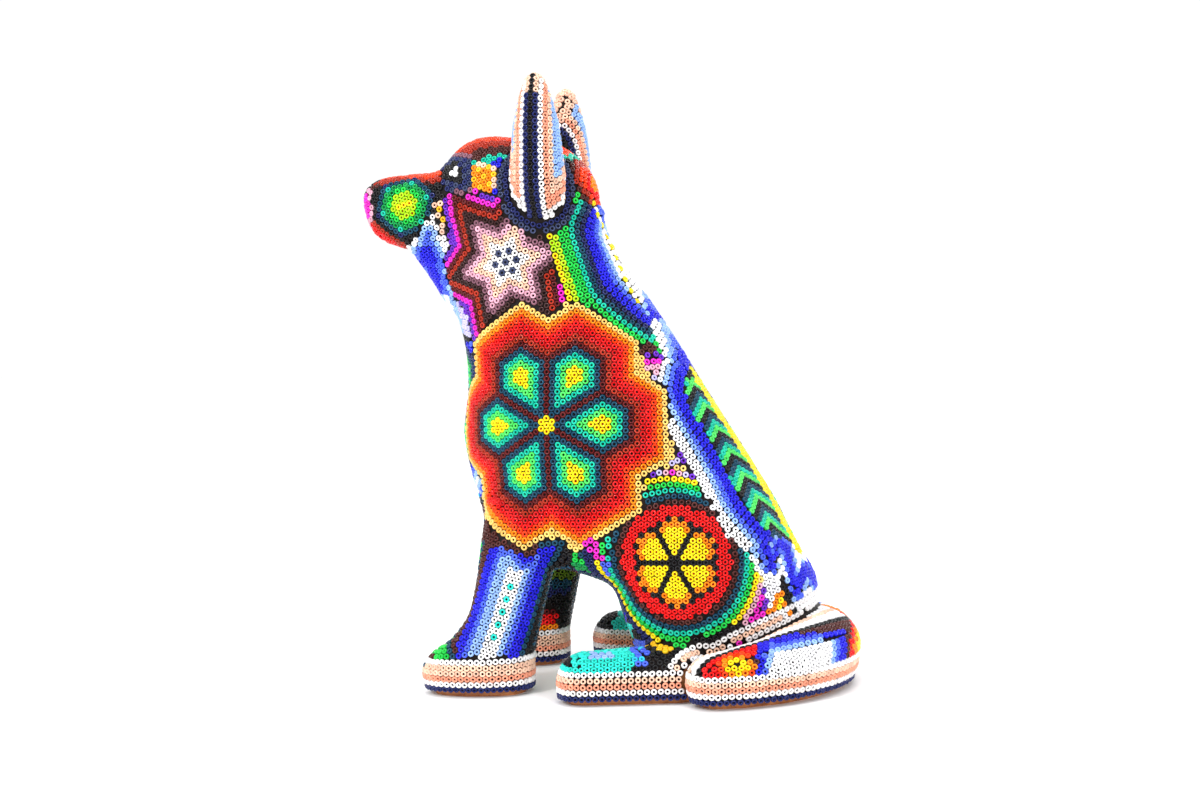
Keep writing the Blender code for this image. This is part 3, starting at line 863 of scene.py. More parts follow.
def colour_at(u, v, x, y, z, n, neck, bd, bs, wd, fd, leg_d, leg_side):
    ax = abs(x)
    inward = n[0] < -0.2
    # hind paws
    if z < 21 and -22 < y < 40 and wd > 28.5 and ax > 12:
        if y < 22:
            if u < 572 and v < 664:
                return "black"
            if u < 632:
                # The small pale blue patch inside the aqua on top of each hind paw is a painted highlight: it stands
                # for glare on the beads.
                return "paleblue" if 590 < u < 612 and 651 < v < 658 else "aqua"
            if u < 648 and 641 < v < 664:
                return "midblue" if (u + v) % 3 > 1 else "cyan"
            return "black"
        return "black"
    # front legs
    if z < 62 and y < -6:
        if inward:
            # The lowest band, lavender, is painted shade: the white row at the top of the hem as it looks in the shade
            # on these inner faces.
            bands = [(12.6, "lavender"), (14.2, "orange"), (18, "red"), (20.5, "maroon"), (24.5, "black"), (27, "navy"), (30, "darkteal"), (37, "olive"), (43, "green"), (47, "emerald"), (99, "midblue")]
            for top, name in bands:
                if z < top:
                    return name
        if n[1] < -0.45:
            return ["black", "brown", "darkteal", "brown"][int((z / 3.7) % 4)]
        return "brown" if near_line(ARCH, u, v) > 9 else "darkteal"
    # wheel surroundings
    if wd < 33 and u < 790 and bd < 0:
        if u > 690 and v > 540:
            return ["magenta", "pink", "purple", "purple"][int(min(max((wd - 30.8) / ROW, 0), 3))]
        if near_line(MAGENTA_PATCH, u, v) < 8:
            return "magenta"
        if 598 < u < 609 and 558 < v < 574:
            return "midblue"
    if bd > 0 and v > 320 and z > 8:
        k = bd / 5.3
        if 766 < u < 794 and v > 583 and abs(u - 781) < (v - 582) * 0.42:
            return "orange" if (int(u * 7) % 3) else "yellow"
        if 766 < u < 800 and v > 578 and 0 < u - 781 - (v - 582) * 0.42 < 6:
            return "black"
        if u > 808 and v > 597:
            return "black"
        if k < 6.4 and v < 600:
            return BACK[int(min(k, 6))]
        if v > 540:
            d = near_line(ZIGZAG, u, v)
            return "royal" if d < 3.2 else "midblue" if d < 7 else "paleblue" if d < 11 else "white"
        if ax < 2.6:
            return "yellow"
        return "black"
    # nape and neck
    if neck > 0 and v < 372:
        if v < 205 and u > 573 + max(0, v - 184) * 0.75:
            t = (u - 573 - max(0, v - 184) * 0.75) / 4.6
            return ["brown", "brick", "redorange", "red", "orange", "yellow"][int(min(max(t, 0), 5))]
        if v < 186:
            return ["turquoise", "darkteal", "darkteal", "brown"][int(min(neck / 5.3, 3))]
        k = neck / 5.3
        if v > 306:
            k = min(k, max(4, 11 - (v - 310) / 4.6))
        return NECK[int(min(k, 11))]
    if 300 < v < 400 and u > 620:
        if v < 353:
            return "brown"
        if v < 364:
            return "purple"
        return "magenta" if (v > 366 and v < 374) else "lavender" if v < 384 else "pink"
    if v > 400 and u > 635 and v < 500:
        if TRIANGLE(np.array([[u, v]]))[0]:
            d = near_line([(640, 482), (677, 449), (702, 488)], u, v) / 4.6
            return ["purple", "lavender", "pink", "magenta"][int(min(d, 3))]
        return "black" if v < 446 else "brown"
    # throat
    if v < 400 and u < 482 and z < 156 and y < -28:
        return throat_colour(u, v)
    # chest
    if y < -30 and z < 112 and ax < 18:
        return ["gold", "orange", "red", "brick", "black", "darkteal", "turquoise", "cyan", "midblue", "royal"][int(min(ax / 1.85 + (0.55 * z) % 3.2, 9))]
    # head
    if z > 140:
        if u < 447:
            return colour_snout(u, v, x)
        return colour_crown(u, v, x)
    # under the belly, from the arch inwards
    d = near_line(ARCH, u, v)
    if n[2] < -0.2 or (u < 640 and d < 22):
        if n[0] > 0.35 and not n[2] < -0.35:
            return ["darkteal", "royal", "black", "black"][int(min(d / 5.4, 3))]
        return ["lime", "green", "emerald", "darkteal", "navy", "black"][int(min(ax / 5.5 if ax < 24 else (33 - min(ax, 33)) / 3, 5))]
    if u < 560 and z < 62:
        return "brown"
    return "black"


# ---- setting


def set_beads():
    F = Field()
    up = (0, 0, 1)

    # pale borders round the bare soles
    hem = lambda P: P[..., 2]
    border = ["navy", "ivory", "salmon", "peach", "white"]
    leg = trace("body", hem, 2.6, (12.5, -40, 2.6), 1, 400)
    rows(F, "body", leg, border_side(leg, "body"), ["navy", "ivory", "salmon", "peach", "peach", "white"], always, dense=True)
    hind = trace("body", hem, 2.6, (45.0, 8, 2.6), 1, 900, stop=lambda p: free_body(p) < 0.6)
    rows(F, "body", hind, border_side(hind, "body"), border, always, twin=False, dense=True)
    hind = trace("body", hem, 2.6, (-45.0, 10, 2.6), 1, 900, stop=lambda p: free_body(p) < 0.6)
    rows(F, "body", hind, border_side(hind, "body"), border, lambda P: P[:, 0] < 14, twin=False, dense=True)
    low = trace("tail", hem, 2.6, (42.0, 66, 2.6), 1, 900, stop=lambda p: body(p) < 0.6)
    rows(F, "tail", low, border_side(low, "tail"), border, always, twin=False, dense=True)

    # the tail's crest and the crease over it
    crest = [(49.0, 35.5, 8.5), (47.4, 37.1, 11.7), (42.4, 42.1, 15.7), (38.0, 49.0, 17.6), (32.1, 57.0, 19.2), (26.0, 66.6, 20.6), (18.2, 73.0, 21.3), (11.2, 76.6, 20.9), (0.0, 79.0, 19.5)]
    rows(F, "tail", crest, inner_side(crest), ["black", "white", "white", "peach", "white", "white", "peach"], always, twin=False)
    crease = trace("body", tail, 1.2, (30, 50, 19), 1, 500, stop=lambda p: p[:, 2] < 4.5)
    rows(F, "body", crease, away_side(crease, "body", tail), ["white", "peach", "ivory", "black"], lambda P: P[:, 2] > 5, twin=False, dense=True)

    F.edging = len(F.p)

    # ears
    z = np.arange(150, 197.4, 1.0)
    x = np.interp(z, [149, 160, 198], [14.5, 18.2, 20.5]) + np.interp(z, [149, 152, 157, 165, 181, 190, 195.5, 198], [3.0, 6.4, 8.4, 9.0, 7.8, 5.8, 3.4, 0.8])
    ridge = np.stack([x, np.interp(z, [149, 160, 198], [-13.8, -13.2, -12.0]), z], 1)
    for s in (1, -1):
        rows(F, "ear", ridge, s, Ear(), always, dense=True)
    base = trace("body", ear, 1.2, (24.4, -12.7, 152), 1, 400)
    rows(F, "body", base, away_side(base, "body", ear), ["navy", "slate"], always, dense=True)

    # motifs
    grow(F, "body", [((29.8, -10.9, 86.1), up, (0, 0))], keep_flower, paint_flower)
    d100 = (0.0, sin(radians(-10)), cos(radians(-10)))
    grow(F, "body", [((19.6, -24.7, 138.2), d100, (0, 0))], keep_star, paint_star)
    grow(F, "body", [(WHEEL, (0, 1, 0), (0, 0))], lambda P, K: radius(K) < 9.1, paint_wheel, pitch=1.97)
    ring = circle_on("body", WHEEL, 19.2)
    rows(F, "body", ring, outer_side(ring, WHEEL), Wheel(), lambda P: (P[:, 2] > 12.5) & (back_of(P) < -1.5) & (P[:, 0] > 8), dense=True, loop=True)

    # muzzle and face
    grow(F, "body", [((12.0, -60.9, 159.0), (0, 0.26, 1), (0, 0))], lambda P, K: SNOUT(board(P)) & (P[:, 1] < -36), paint_snout)
    grow(F, "body", lift_seed((483, 176), (483, 166)), lambda P, K: (P[:, 2] > 156) & (board(P)[:, 1] < 206) & (board(P)[:, 0] > 437) & (P[:, 1] < -4), paint_head)

    grow(F, "body", [((0.0, -46.0, 92.0), up, (0, 0))], lambda P, K: (P[:, 2] < 113) & (P[:, 2] > 64) & (P[:, 1] < -20) & (P[:, 0] < 22), paint_chest)

    grow(F, "body", lift_seed((436, 244), (444, 262)), lambda P, K: (P[:, 1] < -26) & (P[:, 2] > 113) & (board(P)[:, 0] < 474) & (beyond(THROAT_BACK, P) > 0) & (beyond([(431, 209), (409, 243), (398, 266), (380, 290)], P) < 1.5), paint_throat)

    # neck bands, the middle line of dots, the pale band down the back
    dots = lift([(595, 203), (602, 221), (610, 241), (619, 261), (627.5, 281), (639, 301)], gap=2.0)
    rows(F, "body", dots, 1, Dots(), always, dense=True, twin=False)
    line = lift([(568, 150), (569, 178)] + [(u + 2.5, v) for u, v in NECK_LINE[3:-1]], gap=2.0)
    rows(F, "body", line, toward(line, (0, 1, 0.3)), Neck(), lambda P: (neck_side(board(P)) > -3) & (back_of(P) < -2) & (board(P)[:, 1] < 352) & (P[:, 0] > 0.9))
    line = lift([(u + 2.6, v) for u, v in BACK_LINE[2:-1]], gap=2.0)
    rows(F, "body", line, toward(line, (-1, 0.7, 0.3)), BACK[:6], lambda P: (back_of(P) > 0) & (P[:, 0] > 1.5) & (board(P)[:, 1] < 548))
    grow(F, "body", lift_seed((724, 452), (736, 473)), lambda P, K: (back_of(P) > 30) & (board(P)[:, 1] > 380) & (P[:, 2] > 24), paint_chevrons)

    # front legs
    grow(F, "body", lift_seed((510, 587), (502, 612)), lambda P, K: (P[:, 2] < 56) & (P[:, 1] < -6) & (P[:, 0] > 20) & (leg_facing(P) > -0.35), paint_leg)
    return F


def leg_facing(P):
    return slope(body, P)[0][:, 0]


def lift_seed(at, to):
    a = lift([at])[0]
    b = lift([to])[0]
    return [(tuple(a), tuple(b - a), (0, 0))]


def beyond(line, P):
    d, side, s = along(line, board(P))
    return d * side


def toward(C, d):
    P, N = project(body, C)
    T = unit(np.gradient(C, axis=0))
    return 1 if (np.cross(N, T) @ np.array(d, float)).mean() > 0 else -1


def back_of(P):
    bl, bside, bs = along(BACK_LINE, board(P))
    return -bl * bside


class Ear:
    """Rows of one ear, from the outer ridge: black, white, salmon, peach and blue, with the base bordered the same way."""

    rows = 14

    def __call__(self, k, p):
        names = ["black", "navy", "ivory", "salmon", "peach", "paleblue", "paleblue", "lavender"]
        d = float(body(np.array([p]))[0]) / ROW
        q = min(k, 12 - k) if k < 13 else 0
        if p[2] > 195:
            return "black"
        return names[q] if q < 2 else names[int(min(q, max(2, d + 1.4), 7))]


class Neck:
    rows = 15

    def __call__(self, k, p):
        u, v = board(np.array([p]))[0]
        if v < 205 and u > 573 + max(0, v - 184) * 0.75:
            t = (u - 573 - max(0, v - 184) * 0.75) / 4.6
            return ["brown", "brick", "redorange", "red", "orange", "yellow"][int(min(max(t, 0), 5))]
        if v < 186:
            return ["turquoise", "darkteal", "darkteal", "brown"][min(k, 3)]
        if v > 316:
            k = min(k, max(4, 11 - int((v - 316) / 4.5)))
        return NECK[min(k, 11)]


class Dots:
    rows = 1
    count = 0

    def __call__(self, k, p):
        self.count += 1
        return "yellow" if self.count % 2 else "white"


class Wheel:
    rows = 6

    def __call__(self, k, p):
        u, v = board(mirror(np.array([p])))[0]
        if k == 5 and v > 545:
            return "navy" if u < 650 else "gold" if u < 715 else "cream"
        return ["brown", "darkteal", "turquoise", "green", "yellow", "cream"][k]


def border_side(C, kind):
    """The sense in which rows climb."""
    P, N = project(SURF[kind], C)
    T = unit(np.gradient(C, axis=0))
    return 1 if np.cross(N, T)[:, 2].mean() > 0 else -1


def away_side(C, kind, g):
    P, N = project(SURF[kind], C)
    T = unit(np.gradient(C, axis=0))
    return 1 if (np.cross(N, T) * slope(g, C)[0]).sum(1).mean() > 0 else -1


def inner_side(C):
    C = resample(np.array(C, float), 1.0)
    P, N = project(tail, C)
    T = unit(np.gradient(C, axis=0))
    return 1 if (np.cross(N, T) * slope(body, C)[0]).sum(1).mean() < 0 else -1


def outer_side(C, c):
    P, N = project(body, C)
    T = unit(np.gradient(C, axis=0))
    return 1 if (np.cross(N, T) * (C - np.array(c))).sum(1).mean() > 0 else -1


def circle_on(kind, c, r):
    """A closed ring on a surface, at a straight distance r from a point."""
    c = np.array(c, float)
    ((c,), (n,)) = (a for a in project(SURF[kind], [c]))
    e = unit(np.cross(n, (0, 0, 1)))
    w = np.cross(n, e)
    out = []
    for t in np.linspace(0, 2 * pi, 240):
        d = e * cos(t) + w * sin(t)
        q = c + d * r
        for _ in range(8):
            (q,), _n = project(SURF[kind], [q], 2)
            q = c + (q - c) * r / np.linalg.norm(q - c)
        out.append(q)
    return np.array(out)


def fill(F, rounds=60):
    """Closes what is left: each new bead sits in the groove between two that touch it."""
    done = {}
    new = list(range(len(F.p)))
    for _ in range(rounds):
        cand = []
        for m in new:
            p = F.p[m]
            kind = F.f[m]
            for d2, j in sorted(F.near(p, PITCH * 1.75)):
                if j == m or F.f[j] != kind or (min(m, j), max(m, j)) in done:
                    continue
                done[(min(m, j), max(m, j))] = 1
                q = F.p[j]
                a, b = np.array(p), np.array(q)
                n = np.array(F.n[m]) + np.array(F.n[j])
                w = np.cross(b - a, n)
                w = w / max(np.linalg.norm(w), 1e-9)
                h = max(PITCH**2 - d2 / 4, 0.3) ** 0.5
                for s in (1, -1):
                    c = (a + b) / 2 + s * h * w
                    if F.clear(c, PITCH * 0.6):
                        cand.append((c, kind, d2))
        new = []
        if not cand:
            break
        for kind in sorted(set(c[1] for c in cand)):
            some = [c for c in cand if c[1] == kind]
            P, N = project(SURF[kind], [c[0] for c in some])
            ok = allowed(kind, P)
            P[:, 0] = np.where(np.abs(P[:, 0]) < 0.5, 0, P[:, 0]) if kind == "body" else P[:, 0]
            order = np.argsort([round(c[2], 4) for c in some], kind="stable")
            good = []
            for i in order:
                if ok[i] and F.clear(P[i], PITCH * 0.83):
                    F.add(P[i], N[i], None, kind)
                    new.append(len(F.p) - 1)
                    good.append(i)
    return F


def relax(F, rounds=9):
    P = np.array(F.p)
    first = P.copy()
    kinds = np.array(F.f)
    pairs = set()
    for m in range(len(P)):
        for d2, j in F.near(F.p[m], 2.75):
            if j > m:
                pairs.add((m, j))
    A = np.array(sorted(pairs))
    for _ in range(rounds):
        d = P[A[:, 1]] - P[A[:, 0]]
        L = np.linalg.norm(d, axis=1)
        push = np.clip(2.09 - L, 0, 1)[:, None] * d / np.maximum(L, 1e-6)[:, None] * 0.3
        move = np.zeros_like(P)
        np.add.at(move, A[:, 0], -push)
        np.add.at(move, A[:, 1], push)
        P = P + move
        far = P - first
        L = np.linalg.norm(far, axis=1)
        P = first + far * np.minimum(1, 0.55 / np.maximum(L, 1e-9))[:, None]
        for k in sorted(set(kinds.tolist())):
            m = kinds == k
            P[m], _n = project(SURF[k], P[m], 2)
    N = np.zeros_like(P)
    for k in sorted(set(kinds.tolist())):
        m = kinds == k
        P[m], N[m] = project(SURF[k], P[m], 2)
    return P, N, kinds


def all_beads():
    F = set_beads()
    fill(F)
    lost = [i for i, c in enumerate(F.c) if c is None]
    found = {}
    throat = THROAT(board(mirror(np.array(F.p))))
    for i in lost:
        if throat[i] and F.p[i][1] < -28:
            continue
        votes = {}
        for d2, j in F.near(F.p[i], 3.0):
            if j >= F.edging and F.c[j] is not None and F.f[j] == F.f[i] == "body":
                votes[F.c[j]] = votes.get(F.c[j], 0.0) + 1 / (d2 + 0.5)
        if votes and sum(votes.values()) > 0.34:
            found[i] = max(sorted(votes), key=lambda c: votes[c])
    for i, c in found.items():
        F.c[i] = c
    lost = [i for i in lost if i not in found]
    P = mirror(np.array([F.p[i] for i in lost]))
    N = np.array([F.n[i] for i in lost])
    N[:, 0] *= np.sign(np.array([F.p[i][0] for i in lost]) + 1e-9)
    named = paint_rest(P, N, None)
    for i, c in zip(lost, named):
        F.c[i] = c
        if F.f[i] != "body":
            F.c[i] = paint_other(F.f[i], F.p[i])

    P, N, kinds = relax(F)
    return P, N, kinds, retouch(P, kinds, F.c)


def paint_other(kind, p):
    if kind == "tail":
        Q = board(np.array([p]))[0]
        return colour_tail(Q[0], Q[1], p)
    return "peach"


BLUE_EDGE = [(757.5, 668), (760, 648), (768, 638), (800, 632), (843, 627), (846.5, 634), (846.5, 660)]


def colour_tail(u, v, p):
    """The field between the tail's cord-like crest and its border."""
    if p[0] < 0 or p[1] < 30:
        return ["orange", "red", "brown", "royal", "midblue", "white"][int((p[0] + p[1]) / 5.5) % 6]
    if u < 704:
        return "black"
    if u < 755:
        d = ((u - 738) ** 2 / 2.4 + (v - 666) ** 2) ** 0.5
        return "yellow" if d < 7.5 else "orange" if d < 11 else "redorange" if d < 14 else "red"
    d = near_line(BLUE_EDGE, u, v)
    if u < 758:
        return "brown"
    if u > 846.5:
        return "brown" if u < 851 else "red" if u < 854.5 else "orange" if u < 858 else "yellow"
    if v < 629 - (u - 843) * 0.1 and u > 800:
        return "brown"
    return "royal" if d < 5.2 else "midblue" if d < 9.5 else "paleblue" if d < 13 else "white"


ZIG_AREA = polygon([(742, 538), (750, 545), (758, 538), (769, 548), (776, 536), (792, 541), (800, 553), (812, 560), (835, 600), (818, 612), (790, 618), (768, 616), (768, 592), (760, 572), (750, 558)])
CONE = polygon([(782, 583), (767, 615), (794, 614)])
CONE_HEART = polygon([(781.5, 594), (775, 612), (787, 612)])
CONE_SIDE = [(784, 579), (786, 590), (791, 601), (793, 611)]
ROSE_AREA = polygon([(759, 583), (766, 584), (771, 600), (768, 618), (738, 626), (748, 610)])
ROSE_SIDE = [(768, 590), (769, 614)]
PINK_AREA = polygon([(636, 342), (655, 342), (663, 357), (663, 370), (657, 381), (648, 386), (636, 372)])
CLUSTER = polygon([(588.5, 539), (582, 543), (581, 547), (594, 560), (602, 561), (600, 548)])
PATCH = polygon([(600, 560), (608, 560), (610, 575), (605, 577)])


def zig_colour(u, v, d):
    if v < 572 and u < 764 + (v - 540) * 0.35:
        return "royal" if d < 3.6 else "midblue" if d < 8 else "paleblue" if d < 13 else "white"
    return "royal" if d < 3.2 else "midblue" if d < 4.9 else "paleblue" if d < 6.4 else "white"


def retouch(P, kinds, C):
    """Small patches that lie over the rows they interrupt."""
    Q = board(mirror(P))
    zig = ZIG_AREA(Q)
    cone, heart, rose = CONE(Q), CONE_HEART(Q), ROSE_AREA(Q)
    cluster, patch, tri, rosy = CLUSTER(Q), PATCH(Q), TRIANGLE(Q), PINK_AREA(Q)
    zline = along(ZIGZAG, Q)[0]
    edge = along(CONE_SIDE, Q)[0]
    shade = along(ROSE_SIDE, Q)[0]
    three = along([(640, 482), (677, 449), (702, 488)], Q)[0]
    wd = np.linalg.norm(mirror(P) - np.array(WHEEL), axis=1)
    for i in range(len(P)):
        if kinds[i] != "body" or P[i, 2] < 12 or C[i] in ("ivory", "salmon"):
            continue
        if edge[i] < 2.8 and P[i, 1] > 40:
            C[i] = "black"
        elif cone[i]:
            C[i] = "yellow" if heart[i] else "orange"
        elif zig[i] and P[i, 1] > 40:
            C[i] = zig_colour(Q[i, 0], Q[i, 1], zline[i])
        elif rose[i] and wd[i] > 27.4:
            C[i] = "purple" if shade[i] < 4.5 else "pink" if wd[i] < 29.6 else "magenta"
        elif cluster[i] and P[i, 0] > 18:
            C[i] = "magenta"
        elif patch[i] and P[i, 0] > 18:
            C[i] = "midblue"
        elif rosy[i] and P[i, 1] > 5 and C[i] in ("yellow", "lime", "green", "turquoise", "darkteal", "white", "black", "purple", "magenta", "lavender", "pink", "brown", "midblue"):
            v = Q[i, 1]
            C[i] = "brown" if v < 351 else "purple" if v < 360 else "magenta" if v < 366 else "pink" if v < 374 else "lavender"
        elif tri[i] and P[i, 1] > 10 and wd[i] > 27.6 and (C[i] in ("black", "brown", "white", "purple", "lavender", "pink", "magenta") or (C[i] == "cream" and wd[i] < 29.6)):
            C[i] = ["purple", "lavender", "pink", "magenta"][int(min(three[i] / 4.4, 3))]
    return C


# ---- end of beads

# ---------------------------------------------------------------- which CAD bead field each bead belongs to


def outline(corners):
    inside = polygon(corners)
    c = np.array(corners, float)

    def f(P):
        q = P[:, 1:3]
        best = np.full(len(q), 1e9)
        for a, b in zip(c, np.roll(c, -1, axis=0)):
            e = b - a
            t = np.clip(((q - a) @ e) / (e @ e), 0, 1)
            best = np.minimum(best, np.linalg.norm(q - a - t[:, None] * e, axis=1))
        return np.where(inside(q), -best, best)

    return f


def lobed(centre, r, wave, lobes, count=36):
    at = [2 * pi * k / count for k in range(count)]
    return outline([(centre[0] + (r + wave * cos(lobes * t)) * cos(t), centre[1] + (r + wave * cos(lobes * t)) * sin(t)) for t in at])


def apart(f, half):
    return lambda P: np.maximum(f(P), half - np.abs(P[:, 0]))


def front_line(P):
    return P[:, 1] - np.interp(P[:, 2], [40, 60, 84, 100, 112, 125, 138, 150, 158], [-34, -36, -38, -37, -38, -40, -43, -50, -53])


def back_line(P):
    return np.interp(P[:, 2], [16, 28, 45, 60, 80, 100, 116], [56, 51, 47, 40, 29, 20, 17]) - P[:, 1]


def leg_line(P):
    return P[:, 1] - np.interp(P[:, 2], [15, 22], [-17, -4])


star_area = apart(outline([(-60, 157), (-60, 128), (-41, 112), (-8, 112), (-7, 128), (-8, 149), (-16, 152), (-30, 156), (-38, 155)]), 5)
FIELDS = [
    ("foot_border", 2, lambda P: np.maximum(P[:, 2] - 11.0, P[:, 1] + 15.0)),
    ("snout_roundel", 2, apart(lobed((-61.5, 157.8), 10.6, 0.0, 1, 24), 3.5)),
    ("snout", 1, lambda P: np.maximum(P[:, 1] + 51.0, 142.5 - P[:, 2])),
    ("crown", 1, lambda P: np.maximum(154.5 - P[:, 2] + 0.12 * (P[:, 1] + 30), P[:, 1] + 3.5)),
    ("throat", 1, lambda P: np.maximum(front_line(P), 106 - P[:, 2])),
    ("chest", 1, lambda P: np.maximum(np.maximum(front_line(P), np.abs(P[:, 0]) - 13.5), 44 - P[:, 2])),
    ("star", 2, lambda P: np.maximum(star_area(P), 4 - np.abs(P[:, 0]))),
    ("flower", 2, apart(lobed((-11, 85), 36.0, 2.5, 6), 12)),
    ("neck", 1, lambda P: np.maximum(-7.5 - P[:, 1], 107 - P[:, 2])),
    ("front_leg", 2, lambda P: np.maximum(np.maximum(P[:, 2] - 58, leg_line(P)), 8 - np.abs(P[:, 0]))),
    ("back", 1, lambda P: np.maximum(back_line(P), 24 - P[:, 2])),
    ("wheel", 2, lambda P: np.maximum(apart(lobed((29, 43.5), 23.5, 0.0, 1), 9)(P), 19.5 - P[:, 2])),
    ("hind_paw", 2, lambda P: np.maximum(np.maximum(P[:, 2] - 19.5, P[:, 1] - 34), 15 - np.abs(P[:, 0]))),
    ("rump_border", 2, lambda P: np.maximum(P[:, 2] - 33, 34 - P[:, 1])),
    ("flank", 2, lambda P: np.maximum(9 - np.abs(P[:, 0]), 60 - P[:, 2])),
    ("haunch_front", 2, lambda P: 9 - np.abs(P[:, 0])),
]


def homes(P, kinds):
    """The name of the CAD bead field that holds each bead."""
    out = np.array(["belly"] * len(P), dtype=object)
    rest = kinds == "body"
    for name, sides, f in FIELDS:
        hit = rest & (f(P) <= 0)
        rest &= ~hit
        if sides == 1:
            out[hit] = name
        else:
            out[hit & (P[:, 0] >= 0)] = name + "_left"
            out[hit & (P[:, 0] < 0)] = name + "_right"
    out[kinds == "ear"] = "ear_left"
    out[kinds == "ear_r"] = "ear_right"
    low = P[:, 2] < np.interp(P[:, 1], [30, 44, 80], [9.5, 8.5, 9.5])
    out[(kinds == "tail") & low] = "tail_border"
    out[(kinds == "tail") & ~low] = "tail_field"
    return out


# ---------------------------------------------------------------- materials

PALETTE = {
    "black": (14, 13, 17),
    "navy": (24, 34, 92),
    "slate": (52, 62, 96),
    "darkteal": (8, 66, 92),
    "turquoise": (0, 190, 160),
    "aqua": (40, 222, 206),
    "cyan": (50, 205, 240),
    "emerald": (0, 150, 75),
    "green": (20, 200, 70),
    "lightgreen": (80, 222, 100),
    "olive": (96, 124, 18),
    "lime": (180, 228, 16),
    "yellow": (255, 224, 6),
    "gold": (245, 190, 20),
    "orange": (255, 138, 0),
    "redorange": (255, 62, 0),
    "red": (232, 8, 10),
    "reddark": (200, 4, 8),
    "brick": (168, 40, 14),
    "maroon": (92, 8, 12),
    "brown": (74, 28, 24),
    "darkbrown": (52, 22, 22),
    "salmon": (242, 160, 130),
    "peach": (250, 202, 176),
    "cream": (253, 206, 112),
    "white": (253, 252, 255),
    "ivory": (246, 242, 242),
    "lavender": (200, 194, 240),
    "paleblue": (150, 186, 248),
    "midblue": (76, 104, 236),
    "royal": (28, 26, 214),
    "purple": (104, 36, 190),
    "magenta": (236, 36, 196),
    "pink": (226, 170, 190),
    "mauve": (130, 86, 102),
}


def linear(rgb):
    c = np.array(rgb, float) / 255
    return tuple(float(x) for x in np.where(c <= 0.04045, c / 12.92, ((c + 0.055) / 1.055) ** 2.4))


def new_material(name):
    m = bpy.data.materials.new(name)
    m.use_nodes = True
    nt = m.node_tree
    nt.nodes.clear()
    out = nt.nodes.new("ShaderNodeOutputMaterial")
    p = nt.nodes.new("ShaderNodeBsdfPrincipled")
    nt.links.new(p.outputs[0], out.inputs[0])
    return m, nt, p


def mixed(nt, factor, a, b):
    n = nt.nodes.new("ShaderNodeMix")
    n.data_type = "RGBA"
    nt.links.new(factor, n.inputs["Factor"])
    for socket, value in (("A", a), ("B", b)):
        s = [i for i in n.inputs if i.name == socket and i.type == "RGBA"][0]
        if isinstance(value, tuple):
            s.default_value = (*value, 1.0)
        else:
            nt.links.new(value, s)
    return [o for o in n.outputs if o.type == "RGBA"][0]


def ramp(nt, source, low, high, to_low, to_high):
    n = nt.nodes.new("ShaderNodeMapRange")
    n.inputs["From Min"].default_value = low
    n.inputs["From Max"].default_value = high
    n.inputs["To Min"].default_value = to_low
    n.inputs["To Max"].default_value = to_high
    nt.links.new(source, n.inputs["Value"])
    return n.outputs[0]


def noise(nt, scale, detail=2.0):
    t = nt.nodes.new("ShaderNodeTexCoord")
    n = nt.nodes.new("ShaderNodeTexNoise")
    n.inputs["Scale"].default_value = scale
    n.inputs["Detail"].default_value = detail
    nt.links.new(t.outputs["Object"], n.inputs["Vector"])
    return n.outputs[0]


def glass(name, rgb):
    """Opaque pressed glass: each bead a little lighter or darker than the next, with faint streaks."""
    m, nt, p = new_material("glass_" + name)
    c = np.array(linear(rgb))
    geo = nt.nodes.new("ShaderNodeNewGeometry")
    dark = tuple(float(x) for x in c * 0.80)
    light = tuple(float(x) for x in np.minimum(c * 1.12 + 0.012, 1.0))
    tint = mixed(nt, geo.outputs["Random Per Island"], dark, light)
    streak = ramp(nt, noise(nt, 1400.0), 0.42, 0.72, 0.0, 0.30)
    pale = tuple(float(x) for x in np.minimum(c * 1.05 + 0.05, 1.0))
    p.inputs["Base Color"].default_value = (*[float(x) for x in c], 1.0)
    nt.links.new(mixed(nt, streak, tint, pale), p.inputs["Base Color"])
    p.inputs["Roughness"].default_value = 0.13
    p.inputs["IOR"].default_value = 1.5
    p.inputs["Specular IOR Level"].default_value = 0.34
    sheen = 0.42 + 0.58 * c / max(c.max(), 0.25)
    p.inputs["Specular Tint"].default_value = (*[float(x) for x in sheen], 1.0)
    return m


GLASS = {name: glass(name, rgb) for name, rgb in PALETTE.items()}


def wax_material(name, dark, pale):
    m, nt, p = new_material(name)
    spots = ramp(nt, noise(nt, 260.0, 3.0), 0.35, 0.7, 0.0, 1.0)
    nt.links.new(mixed(nt, spots, linear(dark), linear(pale)), p.inputs["Base Color"])
    p.inputs["Roughness"].default_value = 0.42
    p.inputs["Specular IOR Level"].default_value = 0.12
    nt.links.new(ramp(nt, noise(nt, 900.0, 2.0), 0.3, 0.7, 0.34, 0.55), p.inputs["Roughness"])
    bump = nt.nodes.new("ShaderNodeBump")
    bump.inputs["Strength"].default_value = 0.25
    bump.inputs["Distance"].default_value = 0.0004
    nt.links.new(noise(nt, 700.0, 3.0), bump.inputs["Height"])
    nt.links.new(bump.outputs[0], p.inputs["Normal"])
    return m


